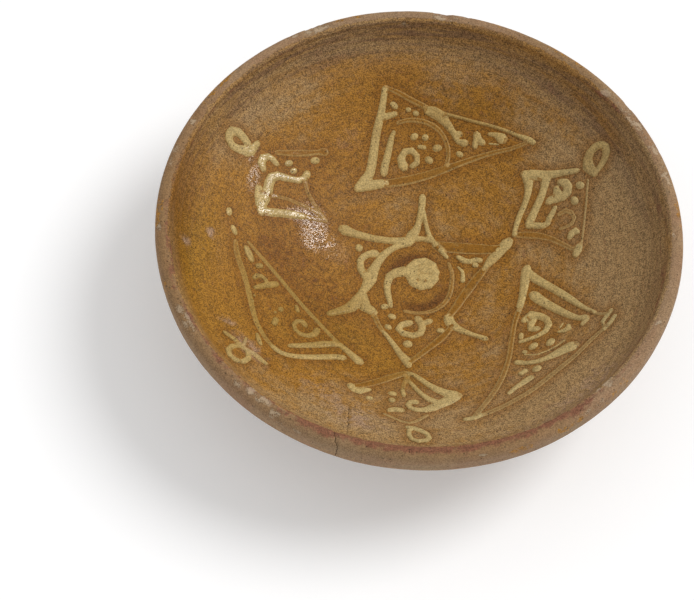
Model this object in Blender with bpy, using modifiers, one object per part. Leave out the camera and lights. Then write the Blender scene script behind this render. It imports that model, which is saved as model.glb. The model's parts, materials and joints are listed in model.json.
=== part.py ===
"""Slip-decorated earthenware bowl: a thrown clay body, its foot ring and the trails of slip laid inside."""

import math

import bmesh
import bpy
from mathutils import Matrix, Vector
from mathutils.geometry import interpolate_bezier

# The bowl's outline, in metres: it stands on z = 0, round the z axis
RIM_RADIUS = 0.125
BOWL_HEIGHT = 0.070

# The lip: how thick it is, how far its top is rounded, and where the straight outside under it starts
LIP_WIDTH = 0.0075
LIP_ROUND = 0.0035
LIP_DEPTH = 0.008

# The shoulder, where the dished inside turns up to the lip: how far in from the lip and down from the rim
SHOULDER_INSET = 0.0055
SHOULDER_DROP = 0.014

# The wall at the shoulder, the floor at the axis, and the power of the radius that the inside rises with
WALL_THICKNESS = 0.0105
FLOOR_HEIGHT = 0.017
FLOOR_THICKNESS = 0.0105
CURVE_POWER = 2.2

# The foot ring, a coil of clay luted under the body, wider where it is smeared onto it
FOOT_RADIUS = 0.042
FOOT_WIDTH = 0.008
FOOT_FLARE = 0.0015
FOOT_ROUND = 0.0012

# How high a full trail and a thin band of slip stand, the clay left bare outside them, and the gap under them
TRAIL_RELIEF = 0.0011
BAND_RELIEF = 0.0006
BARE_MARGIN = 0.002
SEAT_GAP = 0.0004

# Shares of a trail's half width or height: its flat crown, its rounded end, and how tightly it may bend
CROWN_WIDTH = 0.5
END_REACH = 0.85
END_WIDTH = 0.55
END_HEIGHT = 0.7
BEND_SHARE = 0.8

# How finely the round shapes are cut
TURNS = 72
LIP_STEPS = 6
WALL_STEPS = 3
CURVE_STEPS = 10
FOOT_STEPS = 2
DROP_SIDES = 10
STATION_SPACING = 0.005
SMOOTH_ANGLE = math.radians(40)

# Points closer than this are made one: a turned profile's on the axis, and a union's slivers
AXIS_MERGE = 0.00001
SLIVER_MERGE = 0.000002

# The share of a stretch that its curve handles take, as on a smooth line through points
HANDLE_SHARE = 1 / 3

# What follows from those sizes
LIP_INNER_RADIUS = RIM_RADIUS - LIP_WIDTH
SHOULDER_RADIUS = LIP_INNER_RADIUS - SHOULDER_INSET
SHOULDER_HEIGHT = BOWL_HEIGHT - SHOULDER_DROP
SHOULDER_SLOPE = math.atan(CURVE_POWER * (SHOULDER_HEIGHT - FLOOR_HEIGHT) / SHOULDER_RADIUS)
BELLY_RADIUS = SHOULDER_RADIUS + WALL_THICKNESS * math.sin(SHOULDER_SLOPE)
BELLY_HEIGHT = SHOULDER_HEIGHT - WALL_THICKNESS * math.cos(SHOULDER_SLOPE)
UNDERSIDE_HEIGHT = FLOOR_HEIGHT - FLOOR_THICKNESS

# The slip is drawn in plan, seen from above, in units that put its outermost trail 110 from the axis.
# A trail's point is x, y and its width there. A drop is x, y, length, width and its turn in degrees.
DRAWN_REACH = 110
UNIT = (SHOULDER_RADIUS - BARE_MARGIN) / DRAWN_REACH

# Six-pointed star with a comma swirl in its medallion
STAR_TRAILS = {
    "star_outline": [
        [(-0.5, 44, 3.8), (-0.2, 39, 3.6), (-0.6, 33, 3.2), (-0.9, 30, 3.2), (-1.5, 27, 4.4),
         (-2.6, 24.4, 6.2), (-3.6, 21.6, 6.6)],
        [(0.8, 37, 2.2), (2.4, 32, 2), (4, 27.5, 2), (5.6, 23.4, 3.4), (8.8, 20, 3.2), (12, 17, 2.6),
         (15, 13.8, 1.8)],
        [(-3, 21.5, 3.8), (2, 22.5, 2.6), (6, 22, 2.8)],
        [(-4, 20.5, 5), (-10, 19.5, 3.8), (-16, 18.8, 3.8), (-22, 18.6, 4), (-28, 18.9, 4.2),
         (-33, 19.3, 5), (-36.6, 19.9, 6.6)],
        [(-4, 19.5, 4), (-9, 17, 3.2), (-13.5, 13.5, 3.6), (-16.4, 10, 4.2), (-18.3, 5.5, 4.4),
         (-20, 0.5, 6), (-21, -4, 7.6), (-21.8, -8, 5.6), (-23.3, -11.5, 4.2), (-24.2, -15, 5.4),
         (-25.8, -19, 7), (-28.3, -22.8, 6.4), (-32.5, -25.8, 4.8), (-37.6, -29.2, 3.6)],
        [(-23.4, -12, 3.4), (-22.8, -17, 6), (-21.2, -21, 6.8), (-17.4, -22.8, 5)],
        [(-20.6, 10.6, 4.6), (-23.8, 9.2, 3.6), (-26.9, 5, 3.6), (-26, 0.3, 4), (-22.8, -3.2, 5)],
        [(43.8, 23, 6.2), (40.5, 18.3, 5.8), (37, 13.5, 5.2), (34.5, 9.5, 3)],
        [(19.4, -21.6, 5.6), (20.6, -24, 5.6), (23.6, -26.6, 4.4), (27.5, -28.6, 3.4), (32.5, -30.5, 2.6),
         (38, -32.6, 3.2)],
        [(-10.4, -34.5, 2), (-7.2, -38.5, 2.6), (-4.2, -42.5, 3.2), (-1.2, -46.6, 4), (1.8, -49.8, 5.4),
         (2.8, -52.4, 4.4)],
    ],
    "medallion_swirl": [
        [(-9.2, -18, 2), (-10, -15, 2.8), (-11.6, -10, 3.4), (-12.2, -5, 3.8), (-11.6, -1, 4.6),
         (-9, 1.6, 5.4), (-5, 3, 6.4), (-1, 3.6, 7.4)],
        [(-2.4, 1.4, 4.2), (-2.2, 5.6, 4.6), (0.6, 9, 4.8), (4.6, 10.2, 4.8), (8.6, 8.4, 4.8),
         (10.4, 4.4, 4.8), (10.2, 1, 4.4)],
        [(10.2, 5.6, 4.4), (10.4, 1.2, 4.8), (8, -2.8, 4.8), (4.2, -4.2, 4.8), (0.4, -2.8, 4.8),
         (-2, 1, 4.6), (-2.2, 4.4, 4)],
        [(0.6, 5.6, 5.6), (7.8, 5.6, 5.6)],
        [(0.6, 0.9, 5.6), (7.8, 0.9, 5.6)],
    ],
    "star_scroll": [
        [(0.8, -26.4, 4), (-2.5, -28, 3.8), (-4, -30.8, 3.6), (-1.4, -33.2, 3.8), (3.4, -33.8, 3.8),
         (6.8, -32, 3.9), (7.4, -28.4, 4), (6.2, -25.4, 3.9), (5, -23.6, 4.4)],
        [(7.2, -26, 3), (10.4, -24, 3.6)],
    ],
    "star_wave": [
        [(20.8, 14.2, 2.4), (23.6, 12.5, 3.2), (26.6, 12.2, 2.8), (29.4, 13.2, 2.9), (31.5, 13.2, 2.8)],
    ],
}
STAR_BANDS = {
    "star_outline": [
        [(10, 19.5, 6.4), (18, 19.4, 7), (28, 19.4, 7), (36, 19.4, 5.8), (41, 20.4, 3.4)],
        [(35.5, 10.5, 3.4), (32, 5, 5), (28.5, -1.5, 5.4), (25.2, -8, 5.4), (22.3, -14.5, 4.8),
         (20, -19, 4)],
        [(21, -27, 3.4), (17.8, -32.5, 4.6), (13.6, -38, 4.4), (9.6, -43, 3.8), (6.3, -47.3, 3.6),
         (3.5, -50.3, 3.8)],
        [(-16.5, -25, 3.2), (-13.9, -29.8, 2.8), (-10.6, -34.5, 2.4)],
    ],
    "medallion_ring": [
        [(16.4, 10.5, 1.8), (18.4, 6, 2.2), (19.1, 0.5, 2.6), (19.1, -4, 2.8), (18.2, -9, 2.8),
         (16, -13.5, 2.8), (12.6, -17, 2.6), (8, -19.1, 2.2), (3, -20, 2), (-2, -19.6, 2)],
    ],
}
STAR_DROPS = {
    "star_drop_upper_left": (-28.3, 12, 4.6, 4.2, 90),
    "star_drop_left": (-7.8, -23.9, 4.8, 3.4, -20),
    "star_drop_lower_left": (-9, -30.6, 4.2, 3.3, -30),
    "star_drop_bottom": (1.4, -39.3, 5.2, 4.8, 0),
}

# Triangle at the top of the bowl as it is looked at
TOP_TRIANGLE_TRAILS = {
    "top_triangle_outline": [
        [(-26, 91, 3.4), (-26, 85, 3.6), (-26.4, 79.5, 4.2), (-27.2, 73, 4.6), (-27.5, 66, 4.8),
         (-27.5, 59, 4.9), (-28, 52, 5), (-30, 47.3, 5.8), (-33, 42.8, 4.2)],
        [(-26, 78, 3), (-22.5, 80, 3), (-19.2, 81.4, 2.4)],
        [(-3, 85.2, 4.8), (-0.4, 85, 5.8), (2.6, 83.8, 5.8), (5.6, 81.8, 5), (8.4, 79.2, 4), (11, 76.4, 3),
         (12.2, 74.2, 2.6), (13.8, 72.7, 2.4), (17, 72.3, 4)],
        [(4, 84.9, 1.5), (8, 84.3, 1.2), (14, 83.4, 1.2), (20, 82.3, 1.2), (28, 80.8, 1.2),
         (36.5, 78.5, 1.2), (43, 76, 1.5), (46, 75, 2.4), (48.6, 73.8, 3.2), (51, 72.5, 2.2)],
        [(11.6, 76.2, 2.4), (13.9, 76.2, 3.4)],
        [(-32.5, 43, 4), (-27, 45.8, 5.4), (-21, 47.9, 4.6)],
    ],
    "top_triangle_bar": [
        [(-21.2, 53.2, 4), (-21, 57, 4.1), (-20.4, 62, 3.7), (-19.9, 67, 3.4), (-19.6, 70.5, 2.8),
         (-18.8, 73, 2)],
    ],
    "top_triangle_ring": [
        [(-11.9, 58.2, 5.4), (-13.6, 61.6, 4.4), (-12.2, 65.1, 3.6), (-8.6, 66.2, 3.4), (-5.8, 64, 3.2),
         (-5.4, 60.8, 3.2), (-7.6, 58.8, 2.6)],
    ],
    "top_triangle_fork": [
        [(22.6, 76, 4.4), (23.8, 74, 3.8), (25.8, 72.8, 3.2)],
        [(22.6, 74.5, 3.2), (22.2, 72.2, 3.0), (22.3, 71, 2.8)],
    ],
    "top_triangle_tailed_drop": [
        [(28.5, 76.9, 1.4), (31.5, 76.6, 2.4), (34.2, 75.4, 5.2), (35.4, 74.8, 5.4)],
    ],
}
TOP_TRIANGLE_BANDS = {
    "top_triangle_outline": [
        [(-25.6, 92, 2.6), (-19.5, 91, 3), (-14, 89.3, 3.2), (-9, 88, 3.2), (-4, 86.4, 3)],
        [(-17.4, 77.8, 2.2), (-12.6, 79.8, 2.6), (-5.5, 80.3, 2.8), (0.7, 78.8, 2.8), (5.9, 75, 2.8),
         (9, 69.6, 2.8), (9.8, 65.6, 2.6), (9.2, 60.5, 2.6)],
        [(-21, 47.9, 4.4), (-14, 49.9, 5), (-5, 53.2, 5.2), (3, 56.6, 5), (9, 59.4, 4.6), (15, 62.2, 3.8),
         (20, 64.3, 3.4), (26, 66.6, 3), (33.5, 68.8, 2.8), (40, 70.2, 2.4), (47.6, 72.8, 2)],
    ],
}
TOP_TRIANGLE_DROPS = {
    "top_triangle_drop_corner": (-20.4, 85, 5.4, 3.2, -20),
    "top_triangle_drop_upper": (-8.4, 72.8, 4.8, 3.5, 35),
    "top_triangle_drop_right": (3.7, 68.9, 5.8, 3.8, 12),
    "top_triangle_drop_lower": (0.4, 62.8, 5.2, 3.8, -25),
    "top_triangle_drop_outer": (15.2, 67, 4.6, 2.9, -20),
}

# Kite at the upper right
RIGHT_KITE_TRAILS = {
    "right_kite_outline": [
        [(48.4, 57.8, 4.8), (52.5, 57.3, 6), (57, 56.9, 5.2), (61, 56.9, 4.2), (65, 57.2, 3.4),
         (69, 57.3, 3), (73.2, 57.4, 2.6)],
        [(49.2, 57, 5.4), (50.8, 53.5, 5), (51.1, 49.5, 3.8), (50.6, 45.5, 3.2), (49.6, 41.5, 3),
         (48.3, 37.5, 2.9), (47.4, 33.5, 2.6), (46.8, 30, 2.3), (46.6, 27.5, 2.2)],
        [(58.8, 55, 5.6), (58.6, 51.5, 4), (57.9, 47.5, 3.8), (56.7, 43.5, 4), (55.4, 39.5, 4.1),
         (54, 35.5, 4.4), (53.4, 32.4, 4.8)],
        [(53.6, 32, 3.8), (57, 31.6, 3.4), (60.5, 31.4, 3.2), (62, 32.4, 3)],
        [(62, 32.2, 3), (62.6, 35, 3), (64, 38, 2.6), (64.8, 40.2, 2)],
        [(78, 18.4, 4), (77.4, 16.2, 4.8), (76.8, 14, 3.4)],
    ],
    "right_kite_loop": [
        [(81.8, 54.4, 3), (80.4, 56.1, 4.4), (78.3, 58.8, 6), (77.7, 61.8, 5), (78.4, 65.1, 4.5),
         (80.3, 67.3, 4), (83, 68.1, 3.5)],
        [(82, 68.1, 3.4), (85.2, 66.8, 3.5), (86.2, 63.8, 3.5), (85.4, 60.6, 3.2), (84, 57.8, 3),
         (82.4, 55.6, 2.8)],
    ],
    "right_kite_scroll": [
        [(66, 52.8, 3.6), (68.4, 52.2, 4.6), (69.9, 50, 4.6), (69.8, 47.2, 5), (67.8, 45.4, 5),
         (65, 44.8, 4.6), (62.4, 44.4, 4.4), (61.6, 43.6, 4)],
        [(64.3, 49.8, 2.8), (64.9, 48, 4.2), (66, 46, 4.4)],
    ],
    "right_kite_crook": [
        [(73.2, 23.8, 2.8), (74, 26.1, 3.6), (75.6, 27.2, 3.7), (76.5, 26.1, 2.6)],
    ],
}
RIGHT_KITE_BANDS = {
    "right_kite_outline": [
        [(46.7, 27.2, 2.6), (50, 27.1, 4), (55, 26.8, 4.4), (60, 25.8, 4.2), (65, 23.9, 3.6),
         (69.5, 21.2, 3), (73.5, 18.4, 2.6), (77, 16.6, 2.2)],
        [(79, 18.4, 1.2), (79.2, 26, 1.2), (79.3, 33, 1.2), (79.3, 41, 1.2), (79.1, 48, 1.2),
         (78.9, 52.4, 1.2)],
    ],
    "right_kite_arch": [
        [(67.4, 36.8, 2.8), (70, 38.3, 3.1), (72.7, 37, 2.7), (74.6, 34, 2.3), (73.8, 31.2, 2.1),
         (71, 29.6, 2), (68.3, 29, 1.8)],
    ],
}
RIGHT_KITE_DROPS = {
    "right_kite_drop_upper": (75.5, 50.1, 5.4, 3.9, -38),
    "right_kite_drop_lower": (73.7, 42.7, 5.6, 3.9, -58),
}

# Triangle at the lower right
RIGHT_TRIANGLE_TRAILS = {
    "right_triangle_outline": [
        [(54.4, 8.4, 4.8), (54.1, 3, 5), (54, -2, 4.4), (53.5, -8, 3.8), (52.8, -13.5, 3.6)],
        [(54.6, 7, 4.2), (57.2, 4.2, 5), (60, 1.8, 5), (65, -1.7, 4.4), (70, -5.6, 4.2), (75, -9.8, 4),
         (79.6, -14.2, 3), (84, -18, 2), (87.5, -20.6, 1.8)],
        [(94.8, -20.8, 1.8), (93, -24, 2), (91.2, -27.2, 1.8)],
        [(96.6, -24.8, 2.2), (94.6, -28.6, 2), (92, -32, 2)],
        [(39, -84, 3.2), (35.8, -86.2, 3.2), (32, -87.4, 2.6)],
    ],
    "right_triangle_bar": [
        [(59.2, -7, 5.8), (62, -9.8, 5.6), (65, -12.2, 5), (69, -15.2, 4.7), (73, -18.2, 4.2),
         (77, -20.9, 3.6), (80.4, -22.8, 3.2), (83.4, -23, 4)],
        [(84.2, -24, 2.6), (82.2, -27, 2)],
    ],
    "right_triangle_scroll": [
        [(55.6, -21.4, 3.6), (58.6, -18.2, 5), (62.6, -19.4, 4.4), (65.8, -21.6, 4), (67.2, -25, 3.4),
         (65.6, -29, 2.8), (62, -31.8, 2.3), (58, -33.4, 2), (54.4, -34.8, 1.8)],
        [(59.8, -20.5, 4), (58.8, -24, 3.8), (59, -27, 4.2), (61.6, -27, 3.6)],
    ],
    "right_triangle_teardrop": [
        [(53.9, -47.8, 3.6), (58, -48.5, 2.6), (63, -47.8, 2.8), (67.5, -46, 3.4), (71.5, -43.8, 4.8),
         (75, -41.6, 6.2), (78.4, -39.8, 7)],
    ],
    "right_triangle_dash": [
        [(60.4, -58.4, 3.8), (57, -61.8, 3.2), (53.6, -65, 2.6), (51, -68.6, 2)],
    ],
}
RIGHT_TRIANGLE_BANDS = {
    "right_triangle_outline": [
        [(53, -13.5, 3.4), (51.2, -22, 3), (50.6, -31, 3), (50.2, -40, 3), (49.4, -48, 3),
         (47.8, -56, 3.2), (45.5, -64, 3.4), (42.5, -71.5, 3.4), (39.5, -78, 3.2), (36.4, -84.6, 3)],
        [(87.5, -21, 1.8), (91, -22.4, 1.8), (94, -22.2, 1.8)],
        [(91.2, -27.2, 1.8), (92.4, -31, 2)],
        [(92.2, -31.5, 2.2), (88, -36, 2.6), (84.5, -40.5, 2.8), (80.5, -45.8, 3), (75.5, -51.3, 3.2),
         (70.5, -56.8, 3.4), (66, -62, 3.4), (61.5, -67, 3.4), (56, -72, 3.4), (50, -77, 3.4),
         (43.5, -81.5, 3.2), (37.5, -85.3, 3)],
    ],
}
RIGHT_TRIANGLE_DROPS = {
    "right_triangle_drop_left": (60.7, -37.8, 6, 4, 48),
    "right_triangle_drop_right": (68.5, -36, 6, 4.2, 62),
    "right_triangle_drop_lower": (63, -52.6, 5.6, 4.3, 50),
}

# Kite at the bottom, with its loop on the near wall
BOTTOM_KITE_TRAILS = {
    "bottom_kite_outline": [
        [(4.2, -58, 2.2), (6.8, -59.2, 2.6), (9.8, -61.4, 3), (13.2, -64.2, 3.4), (17.6, -67, 4.4),
         (22.2, -69.2, 5.4), (26.4, -70.2, 6.4)],
        [(27.2, -71, 6), (24, -73.8, 6.6), (20, -77.2, 6.2), (16.6, -80.2, 5.4), (13, -82.3, 4),
         (9.5, -82.7, 3.2), (6.4, -81.8, 2.9), (5, -79.6, 2.9), (6, -77.7, 3.2), (8.4, -77.2, 3.8)],
        [(5, -64.3, 2.2), (7.7, -67.9, 2.5), (10.6, -71.1, 2.8), (13.8, -73.9, 3.4), (17.5, -76, 4.4)],
        [(1.7, -70.2, 2.2), (2.5, -73.4, 2.3)],
        [(-22.3, -72.8, 4.8), (-20.6, -74.8, 4.4), (-18, -75.3, 4.4), (-15.8, -73.8, 3.1),
         (-13.8, -72.9, 2.2)],
    ],
    "bottom_kite_blob": [
        [(-3, -85.2, 3.2), (-0.6, -84.2, 3.9), (2.3, -84.2, 3.6)],
    ],
    "bottom_kite_loop": [
        [(6, -96.4, 2.6), (9.2, -96.7, 3.1), (12.4, -98, 3.1), (15, -100, 3), (16.4, -103, 2.6),
         (15, -105.4, 2.3)],
        [(15.6, -104.8, 2), (11.5, -106.3, 2.3), (8.6, -105.2, 2.2), (7.2, -102.4, 2.3), (6.8, -99, 2.3),
         (8, -96.8, 2.3)],
    ],
}
BOTTOM_KITE_BANDS = {
    "bottom_kite_outline": [
        [(3, -58, 2.8), (3, -61.5, 3), (4.6, -64.2, 2.4)],
        [(2.8, -62, 2.4), (1.9, -66, 2.2), (1.7, -70.2, 2)],
        [(2.6, -58, 3.4), (-1, -60, 4.2), (-5, -62.6, 4.8), (-9.5, -65.8, 4.8), (-14, -68.8, 4.8),
         (-18.5, -71.4, 4.2), (-21.5, -72.6, 3.4)],
    ],
    "bottom_kite_base": [
        [(-5.4, -88.6, 1.7), (-1, -90.6, 1.8), (3, -92.5, 1.9), (6.6, -93, 1.9), (9.6, -91.4, 2.1),
         (12.4, -88.2, 2.1), (14.4, -86, 1.9)],
    ],
}
BOTTOM_KITE_DROPS = {
    "bottom_kite_drop_upper": (-2.8, -73.2, 5, 3.4, 0),
    "bottom_kite_drop_lower": (-2.6, -77.8, 3.9, 3.7, 90),
}

# Triangle at the lower left, with its loop on the near wall
LEFT_TRIANGLE_TRAILS = {
    "left_triangle_outline": [
        [(-61.5, -59.8, 2.8), (-57, -62.2, 3.1), (-50.5, -61.8, 3.1), (-44.3, -59.9, 3.3),
         (-38, -57.6, 3.7), (-32, -55.4, 3.7), (-28.4, -54.9, 3.9)],
    ],
    "left_triangle_edge": [
        [(-53.5, -55.8, 2.6), (-48, -53.5, 3.4), (-43, -51.3, 4), (-38, -48.9, 4.4), (-33.6, -47.4, 4),
         (-30.6, -47.2, 3.4), (-27.4, -49.5, 3.4), (-24.2, -52.2, 4), (-20.4, -55.2, 5)],
    ],
    "left_triangle_dash": [
        [(-81.4, -6.8, 3.2), (-79.8, -9.4, 3.7), (-78.3, -12.2, 3)],
    ],
    "left_triangle_hook": [
        [(-65.3, -21, 3.6), (-68.6, -23, 3.5), (-72, -25.3, 3), (-74.2, -27.2, 2.2)],
        [(-75.6, -21.8, 2), (-74.6, -20, 2.8), (-72.2, -19.3, 2.6), (-70.2, -20.6, 2.2),
         (-69.2, -22.4, 2)],
    ],
    "left_triangle_curl": [
        [(-48.6, -40, 3.4), (-49.8, -38.4, 2.8), (-52.2, -39, 2.7), (-53.6, -41.6, 2.3),
         (-52.6, -44.7, 2.3), (-49.8, -46.6, 2.7), (-46.2, -46.4, 3.1), (-43.2, -44.2, 3.7),
         (-42.4, -41.6, 3.8)],
    ],
    "left_loop": [
        [(-76.6, -67.2, 2.7), (-79.2, -69, 2.7), (-80.4, -72.4, 2.7), (-79.2, -75.4, 2.7),
         (-76.2, -77.4, 2.8)],
        [(-76.2, -77.4, 2.8), (-72.8, -76.6, 2.9), (-70.8, -73, 2.9), (-71.6, -69.2, 2.9), (-74, -67, 2.8),
         (-76.6, -67.2, 2.6)],
        [(-72.4, -67.8, 2.8), (-69, -68.8, 3.1), (-65.6, -70.9, 3.2), (-62.8, -72.8, 2.4)],
        [(-75, -66.6, 2.8), (-78.8, -63.9, 2.6), (-83.4, -62, 2.3)],
    ],
}
LEFT_TRIANGLE_BANDS = {
    "left_triangle_outline": [
        [(-87, -5.6, 2.6), (-86, -10, 3.3), (-83.8, -15.5, 3.6), (-81, -21, 3.6), (-78.6, -27, 3.6),
         (-76, -34, 3.6), (-73.6, -41, 3.6), (-71, -47.5, 3.4), (-68.3, -52, 3.2), (-65.4, -56, 3),
         (-61.5, -59.8, 2.8)],
    ],
    "left_triangle_edge": [
        [(-81, -3.2, 2), (-74, -8.6, 2.4), (-66.5, -14.6, 2.4), (-60, -20.4, 2.4), (-52, -28, 2.6),
         (-43.6, -35.3, 2.6), (-37.2, -41.2, 2.6), (-31.6, -46.2, 2.6)],
    ],
}
LEFT_TRIANGLE_DROPS = {
    "left_triangle_drop_tip": (-92.3, 8.8, 5, 3.2, 90),
    "left_triangle_drop_edge": (-88.6, 0.3, 6.2, 3, -60),
}

# Kite at the upper left
LEFT_KITE_TRAILS = {
    "left_kite_outline": [
        [(-58.4, 43, 3.8), (-59.6, 40.2, 3.5), (-62, 38.4, 3.2), (-65.4, 37.8, 3.3), (-69, 37.3, 4),
         (-72.2, 37.1, 4.6), (-75, 35, 5.2), (-76, 31.5, 5.4), (-76, 27.5, 5.6), (-77, 23.5, 6),
         (-78, 19.5, 5.6), (-77.6, 15.8, 5)],
        [(-80.4, 27.2, 4), (-79.6, 23, 5.4), (-78.6, 18.5, 5)],
        [(-77.4, 16.4, 5), (-73, 17.2, 4.9), (-69, 18.5, 4.8), (-65, 19.6, 4.7), (-61.5, 20.3, 4.6),
         (-57.5, 21, 3.4)],
    ],
    "left_kite_curl": [
        [(-73.6, 42.4, 2.8), (-75.6, 43.7, 3.4), (-78, 44.4, 3.4), (-80.5, 42.5, 4.4), (-80.9, 39.4, 4.6),
         (-79.6, 37.4, 3.6)],
    ],
    "left_kite_loop": [
        [(-84, 48.4, 2.8), (-85.2, 46, 3.6), (-86.6, 43.4, 5.2), (-89, 42.2, 5.6), (-92.4, 41.6, 4.6),
         (-95.4, 41.8, 4.2), (-97.4, 43.6, 4), (-97.8, 46.2, 4)],
        [(-97.8, 46, 4), (-96.4, 48.8, 4.2), (-93.6, 49.4, 4.6), (-91, 48, 4.6), (-88.8, 46.2, 4.4),
         (-86.8, 44.6, 3.6)],
    ],
}
LEFT_KITE_BANDS = {
    "left_kite_outline": [
        [(-57.5, 21, 3), (-52, 21.6, 3.2), (-46.5, 22.2, 2.8)],
        [(-46.8, 22.6, 2.4), (-50, 26, 2.4), (-54.4, 30.6, 2.4), (-57.6, 35, 2.4), (-59, 39.6, 2.6)],
        [(-74, 26, 2.4), (-67, 27.2, 2.3), (-61.5, 26.8, 2.3), (-57, 26.4, 2.3), (-52.3, 25.4, 2.2),
         (-48.7, 24.1, 2.2)],
    ],
    "left_kite_top_edge": [
        [(-54.2, 55.1, 2.8), (-60, 52.9, 3.6), (-66, 50.7, 4), (-74.4, 47.9, 2.8)],
        [(-51.8, 56, 5.2), (-54.2, 55.1, 3.2)],
    ],
}
LEFT_KITE_DROPS = {
    "left_kite_drop_tip": (-55.6, 50.5, 5.6, 3.6, 28),
    "left_kite_drop_upper": (-68, 44.9, 5.4, 3.2, 38),
    "left_kite_drop_lower": (-65.2, 42.1, 4.6, 3, 40),
}

# Looks, as base colour, roughness and metallic
GLAZED_CLAY = ((0.33, 0.17, 0.055), 0.45, 0.0)
BARE_CLAY = ((0.46, 0.30, 0.19), 0.85, 0.0)
CREAM_SLIP = ((0.60, 0.47, 0.22), 0.35, 0.0)
THIN_SLIP = ((0.38, 0.22, 0.08), 0.40, 0.0)


def inside_height(radius):
    """Height of the bowl's inner surface, out to its shoulder."""
    rise = SHOULDER_HEIGHT - FLOOR_HEIGHT
    return FLOOR_HEIGHT + rise * (radius / SHOULDER_RADIUS) ** CURVE_POWER


def underside_height(radius):
    """Height of the bowl's outer surface, from the axis out to its belly."""
    rise = BELLY_HEIGHT - UNDERSIDE_HEIGHT
    return UNDERSIDE_HEIGHT + rise * (radius / BELLY_RADIUS) ** CURVE_POWER


def body_profile():
    """From the middle of the floor up the inside, over the lip and down the outside to the axis."""
    points = []
    for step in range(CURVE_STEPS + 1):
        radius = SHOULDER_RADIUS * step / CURVE_STEPS
        points.append((radius, inside_height(radius)))
    lip_middle = RIM_RADIUS - LIP_WIDTH / 2
    for step in range(LIP_STEPS + 1):
        turn = math.pi * (1 - step / LIP_STEPS)
        radius = lip_middle + LIP_WIDTH / 2 * math.cos(turn)
        points.append((radius, BOWL_HEIGHT - LIP_ROUND + LIP_ROUND * math.sin(turn)))
    drop = BOWL_HEIGHT - LIP_DEPTH - BELLY_HEIGHT
    for step in range(WALL_STEPS + 1):
        share = step / WALL_STEPS
        radius = RIM_RADIUS - (RIM_RADIUS - BELLY_RADIUS) * share ** 2
        points.append((radius, BOWL_HEIGHT - LIP_DEPTH - drop * share))
    for step in range(CURVE_STEPS - 1, -1, -1):
        radius = BELLY_RADIUS * step / CURVE_STEPS
        points.append((radius, underside_height(radius)))
    return points


def foot_profile():
    """Closed section of the foot ring: its flat foot, rounded edges and a top that follows the body."""
    outer = FOOT_RADIUS
    inner = FOOT_RADIUS - FOOT_WIDTH
    points = []
    for middle, first_turn in ((outer - FOOT_ROUND, 0), (inner + FOOT_ROUND, -math.pi / 2)):
        for step in range(FOOT_STEPS + 1):
            turn = first_turn - math.pi / 2 * step / FOOT_STEPS
            radius = middle + FOOT_ROUND * math.cos(turn)
            points.append((radius, FOOT_ROUND + FOOT_ROUND * math.sin(turn)))
    for radius in (inner - FOOT_FLARE, (inner + outer) / 2, outer + FOOT_FLARE):
        points.append((radius, underside_height(radius) - SEAT_GAP))
    return points


def coloured(name, look):
    """A material of its own for one piece."""
    colour, roughness, metallic = look
    material = bpy.data.materials.new(name)
    material.use_nodes = True
    shader = material.node_tree.nodes["Principled BSDF"]
    shader.inputs["Base Color"].default_value = (*colour, 1.0)
    shader.inputs["Roughness"].default_value = roughness
    shader.inputs["Metallic"].default_value = metallic
    material.diffuse_color = (*colour, 1.0)
    return material


def add_piece(name, mesh, look, collection):
    """Puts a mesh in the model as the named piece, shaded smooth."""
    mesh.name = name
    mesh.shade_smooth()
    piece = bpy.data.objects.new(name, mesh)
    piece.data.materials.append(coloured(name, look))
    collection.objects.link(piece)
    return piece


def turned_piece(name, profile, closed, look, collection):
    """A profile turned round the z axis."""
    edges = [(index, index + 1) for index in range(len(profile) - 1)]
    if closed:
        edges.append((len(profile) - 1, 0))
    mesh = bpy.data.meshes.new(name)
    mesh.from_pydata([(radius, 0.0, height) for radius, height in profile], edges, [])
    piece = add_piece(name, mesh, look, collection)
    screw = piece.modifiers.new("Turning", "SCREW")
    screw.axis = "Z"
    screw.steps = TURNS
    screw.render_steps = TURNS
    screw.use_merge_vertices = True
    screw.merge_threshold = AXIS_MERGE
    screw.use_smooth_shade = True
    return piece


def stations(points):
    """Points along a smooth line through a trail's own points, width included, in metres."""
    knots = [Vector(point) * UNIT for point in points]
    tangents = []
    for index in range(len(knots)):
        before = knots[max(index - 1, 0)]
        after = knots[min(index + 1, len(knots) - 1)]
        tangents.append((after - before).normalized())
    line = [knots[0]]
    for index in range(len(knots) - 1):
        start, end = knots[index], knots[index + 1]
        length = (end - start).length
        steps = max(1, math.ceil(length / STATION_SPACING))
        start_handle = start + tangents[index] * length * HANDLE_SHARE
        end_handle = end - tangents[index + 1] * length * HANDLE_SHARE
        line += interpolate_bezier(start, start_handle, end_handle, end, steps + 1)[1:]
    return line


def bend_limits(line, index):
    """How far a trail may reach to its left and right before its own bend would fold it."""
    if index in (0, len(line) - 1):
        return math.inf, math.inf
    arriving = (line[index] - line[index - 1]).to_2d()
    leaving = (line[index + 1] - line[index]).to_2d()
    turn = arriving.angle_signed(leaving, 0.0)
    if turn == 0:
        return math.inf, math.inf
    reach = BEND_SHARE * (arriving.length + leaving.length) / 2 / abs(turn)
    if turn < 0:
        return reach, math.inf
    return math.inf, reach


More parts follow.
